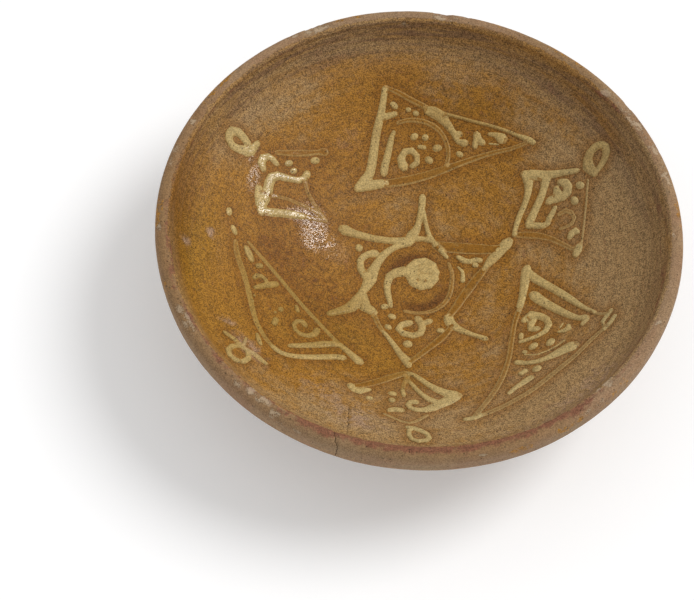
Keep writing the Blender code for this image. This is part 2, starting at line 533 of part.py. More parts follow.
def trail_sections(points, relief):
    """Cross-sections of a trail laid flat: centre, direction, reach to each side and height."""
    line = stations(points)
    sections = []
    for index, station in enumerate(line):
        before = line[max(index - 1, 0)]
        after = line[min(index + 1, len(line) - 1)]
        direction = (after - before).to_2d().normalized()
        left_limit, right_limit = bend_limits(line, index)
        half = station.z / 2
        sections.append((station.to_2d(), direction, min(half, left_limit), min(half, right_limit), relief))
    ends = []
    for (centre, direction, half, _, _), outward in ((sections[0], -1), (sections[-1], 1)):
        nose = centre + direction * half * END_REACH * outward
        ends.append((nose, direction, half * END_WIDTH, half * END_WIDTH, relief * END_HEIGHT))
    return [ends[0], *sections, ends[1]]


def trail_mesh(points, relief):
    """One trail of slip, flat underneath and domed on top, as a closed mesh."""
    shape = bmesh.new()
    rings = []
    for centre, direction, left, right, height in trail_sections(points, relief):
        side = Vector((-direction.y, direction.x))
        crown_left, crown_right = left * CROWN_WIDTH, right * CROWN_WIDTH
        ring = []
        for reach, lift in ((left, 0), (crown_left, height), (-crown_right, height), (-right, 0)):
            spot = centre + side * reach
            ring.append(shape.verts.new((spot.x, spot.y, lift)))
        rings.append(ring)
    for ring, following in zip(rings, rings[1:]):
        for index in range(len(ring)):
            neighbour = (index + 1) % len(ring)
            shape.faces.new((ring[index], following[index], following[neighbour], ring[neighbour]))
    shape.faces.new(rings[0])
    shape.faces.new(list(reversed(rings[-1])))
    return closed_mesh(shape)


def drop_mesh(drop, relief):
    """One drop of slip: an oval dome."""
    x, y, length, width, degrees = drop
    turn = Matrix.Rotation(math.radians(degrees), 2)
    shape = bmesh.new()
    rings = []
    for share, lift in ((1, 0), (CROWN_WIDTH, relief)):
        ring = []
        for side in range(DROP_SIDES):
            angle = 2 * math.pi * side / DROP_SIDES
            oval = Vector((length / 2 * math.cos(angle), width / 2 * math.sin(angle)))
            spot = (Vector((x, y)) + turn @ oval * share) * UNIT
            ring.append(shape.verts.new((spot.x, spot.y, lift)))
        rings.append(ring)
    shape.faces.new(list(reversed(rings[0])))
    shape.faces.new(rings[1])
    for side in range(DROP_SIDES):
        neighbour = (side + 1) % DROP_SIDES
        shape.faces.new((rings[0][side], rings[0][neighbour], rings[1][neighbour], rings[1][side]))
    return closed_mesh(shape)


def closed_mesh(shape):
    """Turns a bmesh into a mesh whose faces all point outwards."""
    bmesh.ops.recalc_face_normals(shape, faces=shape.faces)
    mesh = bpy.data.meshes.new("slip")
    shape.to_mesh(mesh)
    shape.free()
    return mesh


def united(meshes):
    """Boolean union of flat trails that run into each other."""
    if len(meshes) == 1:
        return meshes[0]
    trails = [bpy.data.objects.new("trail", mesh) for mesh in meshes]
    for trail in trails:
        bpy.context.scene.collection.objects.link(trail)
    for trail in trails[1:]:
        union = trails[0].modifiers.new("Union", "BOOLEAN")
        union.operation = "UNION"
        union.solver = "EXACT"
        union.object = trail
    graph = bpy.context.evaluated_depsgraph_get()
    mesh = bpy.data.meshes.new_from_object(trails[0].evaluated_get(graph))
    for trail in trails:
        bpy.data.objects.remove(trail)
    return mesh


def lay_on_bowl(mesh):
    """Lifts a flat shape of slip onto the inner surface, a seat's gap above the clay."""
    shape = bmesh.new()
    shape.from_mesh(mesh)
    bmesh.ops.remove_doubles(shape, verts=shape.verts, dist=SLIVER_MERGE)
    bmesh.ops.triangulate(shape, faces=shape.faces)
    for vert in shape.verts:
        vert.co.z += inside_height(vert.co.to_2d().length) + SEAT_GAP
    shape.to_mesh(mesh)
    shape.free()


def slip_piece(name, trails, bands, collection):
    """One connected deposit of slip, from its full trails and its thin bands."""
    meshes = [trail_mesh(points, TRAIL_RELIEF) for points in trails]
    meshes += [trail_mesh(points, BAND_RELIEF) for points in bands]
    mesh = united(meshes)
    lay_on_bowl(mesh)
    look = CREAM_SLIP if trails else THIN_SLIP
    piece = add_piece(name, mesh, look, collection)
    piece.data.set_sharp_from_angle(angle=SMOOTH_ANGLE)


def slip_motif(trails, bands, drops, collection):
    """Every deposit of slip of one motif, each as its own piece."""
    for name in {**trails, **bands}:
        slip_piece(name, trails.get(name, []), bands.get(name, []), collection)
    for name, drop in drops.items():
        mesh = drop_mesh(drop, TRAIL_RELIEF)
        lay_on_bowl(mesh)
        add_piece(name, mesh, CREAM_SLIP, collection)


for leftover in list(bpy.data.objects):
    bpy.data.objects.remove(leftover)
bowl = bpy.data.collections.new("slip_decorated_bowl")
bpy.context.scene.collection.children.link(bowl)

turned_piece("clay_body", body_profile(), False, GLAZED_CLAY, bowl)
turned_piece("foot_ring", foot_profile(), True, BARE_CLAY, bowl)
slip_motif(STAR_TRAILS, STAR_BANDS, STAR_DROPS, bowl)
slip_motif(TOP_TRIANGLE_TRAILS, TOP_TRIANGLE_BANDS, TOP_TRIANGLE_DROPS, bowl)
slip_motif(RIGHT_KITE_TRAILS, RIGHT_KITE_BANDS, RIGHT_KITE_DROPS, bowl)
slip_motif(RIGHT_TRIANGLE_TRAILS, RIGHT_TRIANGLE_BANDS, RIGHT_TRIANGLE_DROPS, bowl)
slip_motif(BOTTOM_KITE_TRAILS, BOTTOM_KITE_BANDS, BOTTOM_KITE_DROPS, bowl)
slip_motif(LEFT_TRIANGLE_TRAILS, LEFT_TRIANGLE_BANDS, LEFT_TRIANGLE_DROPS, bowl)
slip_motif(LEFT_KITE_TRAILS, LEFT_KITE_BANDS, LEFT_KITE_DROPS, bowl)
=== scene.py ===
"""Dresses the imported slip-decorated bowl: its clay body, its foot ring and its trailed slip."""

import json
import math

import bmesh
import bpy
import numpy as np
from mathutils import Matrix, Vector, bvhtree, geometry, kdtree, noise


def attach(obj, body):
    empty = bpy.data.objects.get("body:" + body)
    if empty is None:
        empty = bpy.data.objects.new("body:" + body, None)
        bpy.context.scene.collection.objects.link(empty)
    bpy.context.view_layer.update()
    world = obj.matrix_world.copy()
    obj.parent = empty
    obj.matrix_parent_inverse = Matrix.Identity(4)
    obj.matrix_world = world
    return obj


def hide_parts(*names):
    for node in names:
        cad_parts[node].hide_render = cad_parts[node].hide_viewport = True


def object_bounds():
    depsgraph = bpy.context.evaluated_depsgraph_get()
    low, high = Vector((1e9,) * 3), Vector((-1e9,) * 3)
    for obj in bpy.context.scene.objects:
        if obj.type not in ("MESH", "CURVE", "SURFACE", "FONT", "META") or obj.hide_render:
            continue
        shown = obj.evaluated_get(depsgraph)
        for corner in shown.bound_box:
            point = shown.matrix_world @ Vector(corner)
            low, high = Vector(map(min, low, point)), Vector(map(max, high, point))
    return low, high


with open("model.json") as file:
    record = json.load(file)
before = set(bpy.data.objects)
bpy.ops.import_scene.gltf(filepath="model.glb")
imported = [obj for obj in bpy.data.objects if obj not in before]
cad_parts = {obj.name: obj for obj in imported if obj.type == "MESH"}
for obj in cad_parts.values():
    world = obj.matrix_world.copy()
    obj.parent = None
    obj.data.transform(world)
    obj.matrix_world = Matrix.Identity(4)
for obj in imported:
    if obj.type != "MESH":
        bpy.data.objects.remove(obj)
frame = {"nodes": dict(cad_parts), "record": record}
CAD_BOX = [list(corner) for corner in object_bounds()]
MM = 0.001

# The clay body
# A shallow bowl of red-brown earthenware, thrown in one piece, glazed amber inside and bare outside. Its
# finger rings, chipped lip and crack are in the mesh, and how its glaze lies is kept at its points.

RIM_RADIUS, BOWL_HEIGHT = CAD_BOX[1][0], CAD_BOX[1][2]
# In millimetres, the lip's half width and how far its top is above its core
LIP_HALF_WIDTH, LIP_ARM = 3.75, 4.0
LIP_CORE = Vector((RIM_RADIUS - LIP_HALF_WIDTH * MM, BOWL_HEIGHT - LIP_ARM * MM))
LIP_FROM, BELLY_HEIGHT = 65 * MM, 47.7 * MM
TURNED_SEGMENTS, FEWEST_SEGMENTS = 576, 36
HALVING_RADIUS, AXIS_RADIUS = 57.6 * MM, 0.5 * MM
INSIDE_GAP, LIP_GAP, WALL_GAP, UNDERSIDE_GAP = 0.85 * MM, 0.45 * MM, 1.2 * MM, 2.0 * MM
CURVE_STEPS = 64
FLAT = 1e-6


def section_of(node):
    """A turned solid's half section as (radius, height) points, from the top of its axis if it has one."""
    mesh = frame["nodes"][node].data
    spots = []
    for vertex in mesh.vertices:
        x, y, z = vertex.co
        spots.append((round(x, 5), round(z, 5)) if abs(y) < FLAT and x > -FLAT else None)
    beside = {}
    for edge in mesh.edges:
        first, second = (spots[i] for i in edge.vertices)
        if first and second and first != second:
            beside.setdefault(first, set()).add(second)
            beside.setdefault(second, set()).add(first)
    on_axis = [spot for spot in beside if spot[0] == 0]
    line = [max(on_axis or beside, key=lambda spot: (spot[1], spot[0]))]
    while True:
        onward = sorted(spot for spot in beside[line[-1]] if spot not in line)
        if not onward:
            break
        line.append(onward[-1])
    return line


def softened(points, closed):
    """One smooth curve through a section's points, as many close points."""
    knots = [Vector(point) for point in points]
    if closed:
        before, after = knots[-1:] + knots[:-1], knots[1:] + knots[:1]
    else:
        before = [Vector((-knots[1].x, knots[1].y))] + knots[:-1]
        after = knots[1:] + [Vector((-knots[-2].x, knots[-2].y))]
    headings = []
    for last, knot, following in zip(before, knots, after):
        back, on = knot - last, following - knot
        headings.append((back.normalized() * on.length + on.normalized() * back.length).normalized())
    line = []
    for i, knot in enumerate(knots if closed else knots[:-1]):
        span = (after[i] - knot).length
        left = min(span, 2 * (knot - before[i]).length) / 3
        j = (i + 1) % len(knots)
        right = min(span, 2 * (after[j] - knots[j]).length) / 3
        close = geometry.interpolate_bezier(
            knot, knot + headings[i] * left, knots[j] - headings[j] * right, knots[j], CURVE_STEPS
        )
        line += close[:-1]
    if not closed:
        line.append(knots[-1])
    return line


def spaced(line, gap_at):
    """The points along a line that are as far apart as gap_at says, each with its distance from the start."""
    kept = [(0.0, line[0])]
    along = 0.0
    for i in range(1, len(line)):
        along += (line[i] - line[i - 1]).length
        if along - kept[-1][0] >= gap_at(i, line[i]) or i == len(line) - 1:
            kept.append((along, line[i]))
    return kept


def turned_faces(counts, closed):
    """Faces between rings of points, where one may have twice as many as the next or be a single point."""
    starts = np.concatenate([[0], np.cumsum(counts)]).tolist()
    faces = []
    pairs = [(i, i + 1) for i in range(len(counts) - 1)]
    if closed:
        pairs.append((len(counts) - 1, 0))
    for a, b in pairs:
        n, m, i, j = counts[a], counts[b], starts[a], starts[b]
        around = max(n, m) if 1 in (n, m) else min(n, m)
        for k in range(around):
            after = (k + 1) % around
            if n == 1:
                faces.append((i, j + k, j + after))
            elif m == 1:
                faces.append((i + k, j, i + after))
            elif n == m:
                faces.append((i + k, j + k, j + after, i + after))
            elif n < m:
                left, middle, right = j + 2 * k, j + 2 * k + 1, j + 2 * after
                faces += [(i + k, left, middle), (i + k, middle, i + after), (i + after, middle, right)]
            else:
                left, middle, right = i + 2 * k, i + 2 * k + 1, i + 2 * after
                faces += [(j + k, middle, left), (j + k, j + after, middle), (j + after, right, middle)]
    return faces


def rising(values, low, high):
    """0 below low, 1 above high and a smooth step between them."""
    share = np.clip((values - low) / (high - low), 0, 1)
    return share * share * (3 - 2 * share)


def cloudy(points, size, seed=0.0):
    """Smooth noise from about -1 to 1 at each point, with lumps of that size."""
    shift = Vector((seed, -seed, 2 * seed))
    return np.array([noise.noise(Vector(point) / size + shift) for point in points.tolist()])


body_line = softened(section_of("clay_body"), closed=False)
brim = max(range(len(body_line)), key=lambda i: body_line[i].y)


def body_gap(i, point):
    """How far apart the body's rings of points lie."""
    if point.y > LIP_FROM:
        return LIP_GAP
    if i < brim:
        return INSIDE_GAP
    return WALL_GAP if point.y > BELLY_HEIGHT else UNDERSIDE_GAP


def body_count(along, point):
    """How many points a ring of the body has: fewer towards the axis, and on the underside."""
    count = TURNED_SEGMENTS
    if along > brim_along and point.y < BELLY_HEIGHT:
        count //= 2
    while point.x < HALVING_RADIUS * count / TURNED_SEGMENTS and count > FEWEST_SEGMENTS:
        count //= 2
    return count if point.x > AXIS_RADIUS else 1


body_rings = spaced(body_line, body_gap)
brim_along = max(body_rings, key=lambda ring: ring[1].y)[0]
counts = [body_count(*ring) for ring in body_rings]
turn = np.concatenate([np.arange(n) * (math.tau / n) for n in counts])
ring_of = np.repeat(np.arange(len(counts)), counts)
ring_along = np.array([along for along, _ in body_rings])
ring_place = np.array([tuple(point) for _, point in body_rings])
ring_way = np.gradient(ring_place, ring_along, axis=0)
ring_way /= np.linalg.norm(ring_way, axis=1)[:, None]
ring_way[[0, -1]] = (1, 0), (-1, 0)
from_brim = (ring_along[ring_of] - brim_along) / MM
radius, height = ring_place[ring_of].T
out_r, out_z = -ring_way[ring_of, 1], ring_way[ring_of, 0]
inside = from_brim < 0

# Each entry of the crack: millimetres past the brim along the surface, degrees round the bowl, how open it is
CRACK = (
    (-46.3, 255.5, 0),
    (-43, 256.1, 1),
    (-28.3, 258.3, 1),
    (-19.9, 259.0, 0.6),
    (-16, 258.6, 0),
    (-6.3, 256.6, 0),
    (-5.3, 256.5, 1),
    (5.5, 259.0, 1),
    (17, 258.4, 1),
    (20, 258.3, 0),
)
# How it wanders: degrees to each side, and radians of the wave in a millimetre
CRACK_WAVES = ((0.12, 1.9), (0.08, 4.3))
CRACK_BASE = math.radians(257.5)
CRACK_HALF_WIDTH, CRACK_DEPTH, CRACK_DRAWN_IN = 0.3 * MM, 0.45 * MM, math.radians(9)
crack_at = [row[0] for row in CRACK]
crack_turn = np.radians(np.interp(from_brim, crack_at, [row[1] for row in CRACK]))
for degrees, closeness in CRACK_WAVES:
    crack_turn += np.radians(degrees) * np.sin(from_brim * closeness)
crack_open = np.interp(from_brim, crack_at, [row[2] for row in CRACK])
from_base = (turn - CRACK_BASE + math.pi) % math.tau - math.pi
turn = turn + (crack_turn - CRACK_BASE) * np.clip(1 - np.abs(from_base) / CRACK_DRAWN_IN, 0, 1)
column = math.tau / TURNED_SEGMENTS
on_crack = (np.abs(from_base) < column / 2) & (crack_open > 0)
by_crack = (np.abs(np.abs(from_base) - column) < column / 2) & (crack_open > 0)
turn[by_crack] = crack_turn[by_crack] + np.sign(from_base[by_crack]) * CRACK_HALF_WIDTH / radius[by_crack]
cracked = np.where(on_crack, crack_open, 0.0)

circle = np.stack([np.cos(turn), np.sin(turn)], axis=1)
rest = np.column_stack([circle * radius[:, None], height])

# Chips of the lip: degrees round the bowl, degrees round the lip with 0 outward and 90 up, and half length,
# half height and depth in millimetres
CHIPS = (
    (121, 70, 6.5, 3.0, 1.1),
    (127, 60, 3.0, 2.0, 0.5),
    (91, 70, 5.5, 3.2, 1.3),
    (85, 60, 3.0, 1.8, 0.5),
    (100, 165, 1.5, 1.4, 0.9),
    (47, 110, 2.6, 1.8, 0.6),
    (41, 60, 3.6, 2.6, 0.9),
    (36, 75, 5.5, 3.0, 1.1),
    (28, 60, 3.6, 2.4, 0.6),
    (21, 80, 2.6, 2.0, 0.5),
    (237, 110, 3.2, 2.2, 0.5),
    (244, 60, 3.0, 1.6, 0.4),
    (214, 90, 2.6, 1.6, 0.4),
    (190, 60, 2.2, 1.6, 0.4),
    (160, 80, 3.0, 1.8, 0.6),
    (143, 60, 2.0, 1.4, 0.4),
    (289, 30, 2.4, 1.2, 0.5),
    (306, 160, 3.4, 1.6, 0.6),
    (322, 110, 2.6, 1.5, 0.5),
    (341, 80, 2.2, 1.6, 0.4),
    (64, 80, 3.4, 1.8, 0.6),
    (5, 100, 2.4, 1.6, 0.4),
)
CHIPPED_FROM = 55 * MM
CHIP_REACH, CHIP_RAGGEDNESS, CHIP_EDGE = 1.15, 0.45, 0.4


def degrees_from(middle, angles):
    """How far angles in degrees lie from a middle one, the short way round."""
    return (angles - middle + 180) % 360 - 180


turn_degrees = np.degrees(turn)
ragged = cloudy(rest, 2.2 * MM, 3.0)
round_lip = np.degrees(np.arctan2(height - LIP_CORE.y, radius - LIP_CORE.x))
chipped = np.zeros(len(rest))
bitten = np.zeros(len(rest))
for degrees, lip_degrees, half_length, half_height, depth in CHIPS:
    sideways = np.radians(degrees_from(degrees, turn_degrees)) * radius / MM / half_length
    upward = np.radians(degrees_from(lip_degrees, round_lip)) * LIP_ARM / half_height
    from_edge = CHIP_REACH - np.hypot(sideways, upward) + CHIP_RAGGEDNESS * ragged
    edge = rising(from_edge, 0, CHIP_EDGE) * (height > CHIPPED_FROM)
    chipped = np.maximum(chipped, edge)
    bitten = np.maximum(bitten, edge * depth)


def patches(x, y, places):
    """How far points lie in soft oval patches: x, y, half width, half height, degrees turned, strength."""
    found = np.zeros(len(x))
    for px, py, wide, high, degrees, strength in places:
        c, s = math.cos(math.radians(degrees)), math.sin(math.radians(degrees))
        dx, dy = x / MM - px, y / MM - py
        found += strength * np.exp(-(((c * dx + s * dy) / wide) ** 2) - ((c * dy - s * dx) / high) ** 2)
    return found


# Where the glaze is thick and glassy still
GLASSY = (
    (-52, 18, 6, 10, 20, 1.1),
    (-50, 9, 6, 4, 0, 0.7),
    (-38, 7, 6, 6, 0, 1.1),
    (-62, 21, 6, 3, 10, 0.8),
    (-89, 41, 7, 4, 25, 0.8),
    (-84, 32, 3, 7, 0, 0.8),
    (-94, -10, 5, 30, 0, 0.35),
    (-30, -40, 26, 20, 0, 0.2),
    (-12, 44, 14, 10, 0, 0.2),
)
# Where it is on the slip alone
SLIP_GLASSY = (
    (-77, 15, 4, 4, 0, 1.0),
    (-74, 26, 4, 9, 0, 0.9),
    (-68, 38, 9, 4, 0, 0.9),
    (-66, 44, 6, 5, 45, 0.8),
    (-79, 42, 4, 6, 0, 0.8),
)
place_x, place_y = rest[:, 0], rest[:, 1]
in_bowl = inside.astype(float)
glassy = patches(place_x, place_y, GLASSY) * in_bowl

# Finger rings, a slight swell and dimples, in millimetres, and the waves of a rim lifted off the wheel wet
RING_SPACING, RING_INSIDE, RING_OUTSIDE, SWELL = 5.4, 0.035, 0.12, 0.14
RIM_WAVE, RIM_BUMP, RIM_BUMP_AT, RIM_BUMP_HALF = 0.45 * MM, 0.5 * MM, 105, 11
ring_wave = np.sin(math.tau * from_brim / RING_SPACING + turn) * (0.6 + 0.4 * cloudy(rest, 30 * MM, 7.0))
ring_size = np.where(inside, RING_INSIDE, RING_OUTSIDE) * rising(radius, 6 * MM, 22 * MM)
ring_size *= rising(np.abs(from_brim), 5, 9)
swell = SWELL * cloudy(rest, 26 * MM, 11.0) * rising(np.abs(from_brim), 4, 12)
dimples = 0.05 * cloudy(rest, 6 * MM, 13.0) + 0.035 * cloudy(rest, 2.6 * MM, 17.0)
dimples += (0.02 + 0.11 * glassy) * cloudy(rest, 1.7 * MM, 19.0)
shift = (ring_wave * ring_size + swell + dimples) * MM - np.where(on_crack, CRACK_DEPTH * crack_open, 0)
flexed = rising(radius, 106 * MM, 121 * MM) * (height > 40 * MM)
lifted = RIM_WAVE * flexed * cloudy(np.column_stack([circle * 1.6, height * 0]), 1.0, 21.0)
lifted += RIM_BUMP * flexed * np.exp(-((degrees_from(RIM_BUMP_AT, turn_degrees) / RIM_BUMP_HALF) ** 4))

to_core = np.array(LIP_CORE) - np.stack([radius, height], axis=1)
to_core /= np.maximum(np.linalg.norm(to_core, axis=1), MM)[:, None]
new_radius = np.maximum(radius + shift * out_r + to_core[:, 0] * bitten * MM, 0)
new_height = height + shift * out_z + to_core[:, 1] * bitten * MM + lifted
body_points = np.column_stack([circle * new_radius[:, None], new_height])


def linked(name, points, faces):
    """A smooth-shaded mesh object of these points and faces."""
    mesh = bpy.data.meshes.new(name)
    mesh.from_pydata(points.tolist() if isinstance(points, np.ndarray) else points, [], faces)
    mesh.shade_smooth()
    made = bpy.data.objects.new(name, mesh)
    bpy.context.scene.collection.objects.link(made)
    return made


def keep(piece, name, values):
    """Keeps one number for each of a piece's points, for its material."""
    attribute = piece.data.attributes.new(name, "FLOAT", "POINT")
    attribute.data.foreach_set("value", np.asarray(values, np.float32))


clay_body = linked("clay_body_turned", body_points, turned_faces(counts, closed=False))


def rim_marks(places):
    """How far points lie in marks: degrees round, half degrees, from the brim, half height, strength."""
    found = np.zeros(len(turn))
    for degrees, half, at, high, strength in places:
        across = degrees_from(degrees, turn_degrees) / half
        found = np.maximum(found, strength * np.exp(-(across**4) - ((from_brim - at) / high) ** 2))
    return found


# Patches of the inside: glaze gone grey and matt in the ground
WEATHERED = (
    (104, 6, 24, 62, 0, 1.0),
    (84, -64, 44, 34, -42, 0.9),
    (30, -96, 60, 26, 12, 0.75),
    (-30, -100, 40, 20, -16, 0.45),
    (-78, 70, 52, 13, 42, 0.75),
    (-98, 38, 30, 10, 62, 0.4),
    (-62, -84, 26, 14, -35, 0.3),
    (62, 50, 34, 30, 0, 0.45),
    (10, 106, 40, 7, 0, 0.5),
    (24, 0, 60, 50, 0, 0.18),
    (10, -78, 60, 22, 6, 0.35),
    (-25, 43, 18, 12, 0, 0.4),
    (60, 72, 44, 12, 140, 0.35),
    (84, 26, 24, 40, 0, 0.4),
    (-50, -28, 30, 22, -50, -0.5),
    (-108, -12, 14, 50, 0, -0.6),
)
# Glaze burnt a darker brown, with one band of painted shade among its rows
BURNT_AND_SHADED = (
    (20, 92, 62, 16, -6, 0.45),
    (92, 62, 20, 44, 35, 0.4),
    (-44, 44, 34, 24, 20, 0.35),
    (-46, -26, 34, 26, -50, 0.6),
    (-68, 2, 14, 16, 0, 0.5),
    # Painted shade, not burnt glaze: the dark band on the steep inner wall just below the left lip
    (-115, -20, 8, 52, 0, 1.2),
    (40, -44, 40, 34, 0, 0.2),
    (-60, 96, 40, 6, 35, 0.5),
    (98, -8, 5, 50, 0, 0.15),
)
# Glaze that ran yellow
YELLOWED = (
    (-38, -44, 26, 18, -20, 0.6),
    (-106, -20, 14, 40, 0, 0.55),
    (2, -66, 12, 26, 0, 0.5),
    (14, 86, 40, 12, 0, 0.35),
    (-84, -60, 16, 20, 0, 0.3),
    (-30, -96, 30, 10, -15, 0.3),
)
# Lilac-grey scuffs
SCUFFED = (
    (-72, -66, 11, 5, -40, 0.8),
    (-98.7, -6.5, 2.6, 3.4, 0, 1.2),
    (-84, -54, 4, 3, 0, 0.9),
    (-110, -18, 3, 3, 0, 0.9),
    (1, 91, 4, 2.4, 0, 0.6),
    (-42, 66, 12, 7, 40, 0.35),
    (-30, -84, 26, 9, -24, 0.5),
    (-18, -98, 16, 6, -8, 0.5),
    (52, -100, 24, 6, 24, 0.3),
    (88, -70, 38, 10, 50, 0.6),
)
# Marks round the wall and the lip: glaze gone dull and thin on the upper wall
DULLED = (
    (40, 46, -8, 8, 0.55),
    (45, 34, -19, 6, 0.6),
    (118, 56, -9, 13, 0.7),
    (-8, 20, -9, 12, 0.35),
    (262, 46, -8, 9, 0.4),
    (205, 24, -6, 6, 0.45),
)
# The brown stain of a handled lip
LIP_STAINED = (
    (195, 48, 0, 6, 1.0),
    (285, 32, 0, 6, 1.0),
    (60, 18, 0, 6, 0.8),
    (240, 30, 0, 6, 0.8),
    (160, 14, 0, 6, 0.8),
)
# The red-brown line worn along the lip
RED_WORN = (
    (278, 42, -1.3, 2.8, 1.1),
    (309, 10, -1.5, 2.8, 1.1),
    (244, 12, -2.0, 2.2, 0.8),
    (45, 6, -3.0, 2.6, 0.5),
    (38, 3, -5.0, 1.6, 0.4),
    (210, 28, -1.8, 2.4, 0.62),
    (0, 24, -7.0, 5.0, 0.3),
    (335, 24, -6.4, 1.4, 0.75),
    (150, 20, -5.0, 1.6, 0.4),
)
# Pale crusts left by the ground on worn clay
CRUSTED = (
    (239, 3.5, -0.5, 2.4, 1.0),
    (233, 2, 1, 2, 0.7),
    (246, 6, 5, 1.6, 0.7),
    (214, 5, 1, 3, 0.7),
    (36, 9, 0, 3.2, 0.8),
    (47, 2, -1, 2, 0.8),
    (21, 4, 1, 2, 0.8),
    (122, 6, 1, 2.5, 0.6),
    (90, 4, 0, 3, 0.7),
    (302, 3, -4.5, 2, 0.8),
    (321, 4, -3.5, 1.6, 0.9),
    (316, 4, 3, 1.5, 0.6),
    (170, 8, 2, 3, 0.5),
)
# Glaze that ran over the lip
GLAZE_RUNS = (
    (298, 4, 7, 5, 0.5),
    (309, 5, 5, 4, 0.5),
    (322, 6, 6, 4, 0.45),
    (262, 3, 10, 4, 0.3),
    (60, 7, 8, 9, 0.9),
    (78, 3, 6, 6, 0.7),
    (112, 5, 10, 12, 0.85),
    (150, 8, 6, 6, 0.8),
    (186, 4, 9, 10, 0.8),
    (205, 3, 5, 4, 0.5),
    (10, 6, 5, 5, 0.45),
)

slip_nodes = sorted(name for name in frame["nodes"] if name not in ("clay_body", "foot_ring"))
slip_points, slip_faces = [], []
for name in slip_nodes:
    mesh = frame["nodes"][name].data
    slip_faces += [tuple(len(slip_points) + i for i in face.vertices) for face in mesh.polygons]
    slip_points += [vertex.co.copy() for vertex in mesh.vertices]
slip_tree = bvhtree.BVHTree.FromPolygons(slip_points, slip_faces)
SLIP_REACH, SLIP_WITHIN = 7.0, 116 * MM
near_slip = np.full(len(rest), SLIP_REACH)
for i in np.flatnonzero(inside & (radius < SLIP_WITHIN)).tolist():
    found = slip_tree.find_nearest(rest[i], SLIP_REACH * MM)[3]
    if found is not None:
        near_slip[i] = found / MM

# Glaze pooled in two arcs inside the medallion's ring: the middle of each arc and its half length, in degrees
MEDALLION, MEDALLION_RADIUS = (2.4 * MM, -2.6 * MM), 17.5
POOL_ARCS = ((118, 62), (-62, 58))
POOL_INSIDE, POOL_HALF_WIDTH, POOL_LIMIT = 3.4, 3.2, 19
across, along = place_x - MEDALLION[0], place_y - MEDALLION[1]
from_medallion = np.hypot(across, along) / MM
medallion_turn = np.degrees(np.arctan2(along, across))
pool_arc = sum(np.exp(-((degrees_from(middle, medallion_turn) / half) ** 4)) for middle, half in POOL_ARCS)
pooled = np.exp(-(((from_medallion - MEDALLION_RADIUS + POOL_INSIDE) / POOL_HALF_WIDTH) ** 2))
pooled *= pool_arc * (from_medallion < POOL_LIMIT)

# The lip is bare from where the glaze thins out, and stained a little all round
GLAZE_THINS, GLAZE_ENDS, GLAZE_DEPTH = -3.8, -0.9, 1.15
LIP_STAIN_HALF, LIP_STAIN_LEAST = 4, 0.35
bare_lip = rising(from_brim, GLAZE_THINS, GLAZE_ENDS) + 0.5 * chipped
covered = np.clip(np.where(inside, GLAZE_DEPTH - bare_lip, 0.0), 0, 1)

glaze_marks = {"weathered": WEATHERED, "burnt": BURNT_AND_SHADED, "yellowed": YELLOWED, "scuffed": SCUFFED}
for name, places in glaze_marks.items():
    keep(clay_body, name, patches(place_x, place_y, places) * in_bowl)
body_marks = {
    "glassy": glassy,
    "near_slip": near_slip,
    "pooled": pooled * in_bowl,
    "dulled": rim_marks(DULLED) * in_bowl,
    "red_worn": rim_marks(RED_WORN),
    "crusted": np.maximum(rim_marks(CRUSTED), 0.8 * chipped),
    "covered": covered + rim_marks(GLAZE_RUNS) * (from_brim > 0),
    "cracked": cracked,
    "lip_stained": np.maximum(rim_marks(LIP_STAINED), LIP_STAIN_LEAST * (np.abs(from_brim) < LIP_STAIN_HALF)),
}
for name, values in body_marks.items():
    keep(clay_body, name, values)


def add(tree, kind, inputs=(), **settings):
    """A node in a shader tree, with its settings made, and its inputs joined to sockets or set to values."""
    made = tree.nodes.new(kind)
    for name, value in settings.items():
        setattr(made, name, value)
    for place, value in dict(inputs).items():
        if isinstance(value, bpy.types.NodeSocket):
            tree.links.new(value, made.inputs[place])
        else:
            made.inputs[place].default_value = value
    return made


def maths(tree, operation, *values):
    """The result of one sum on sockets and numbers."""
    return add(tree, "ShaderNodeMath", enumerate(values), operation=operation).outputs[0]


def times(tree, first, second):
    """Two values multiplied."""
    return maths(tree, "MULTIPLY", first, second)


def varied(tree, value, pattern, depth):
    """A value moved up and down around itself by a pattern that runs from 0 to 1."""
    return maths(tree, "ADD", value, times(tree, maths(tree, "SUBTRACT", pattern, 0.5), depth))


def without(tree, value, hidden):
    """What is left of a value when a share of it is hidden."""
    return times(tree, value, maths(tree, "SUBTRACT", 1.0, hidden))


def vector_maths(tree, operation, inputs):
    """The results of one sum on vectors."""
    return add(tree, "ShaderNodeVectorMath", inputs, operation=operation).outputs


def stepped(tree, value, low, high, start=0.0, end=1.0):
    """A value's place between low and high, taken smoothly to between start and end."""
    places = {"Value": value, "From Min": low, "From Max": high, "To Min": start, "To Max": end}
    return add(tree, "ShaderNodeMapRange", places, interpolation_type="SMOOTHSTEP").outputs["Result"]


def mixed(tree, share, first, second):
    """Two colours mixed by a share."""
    return add(tree, "ShaderNodeMix", {0: share, 6: first, 7: second}, data_type="RGBA").outputs[2]


def laid_over(tree, colour, pattern, low, high, most, other):
    """A colour with another laid over it, from none where a pattern is low to the most where it is high."""
    return mixed(tree, stepped(tree, pattern, low, high, 0, most), colour, other)


def noisy(tree, place, closeness, detail, roughness=0.6, distortion=0.0):
    """Smooth noise over a place, with finer layers of detail in it."""
    values = {"Vector": place, "Scale": closeness, "Detail": detail}
    values |= {"Roughness": roughness, "Distortion": distortion}
    return add(tree, "ShaderNodeTexNoise", values).outputs[0]


def point_value(tree, name):
    """The number kept under a name at a piece's points."""
    return add(tree, "ShaderNodeAttribute", attribute_name=name).outputs["Fac"]


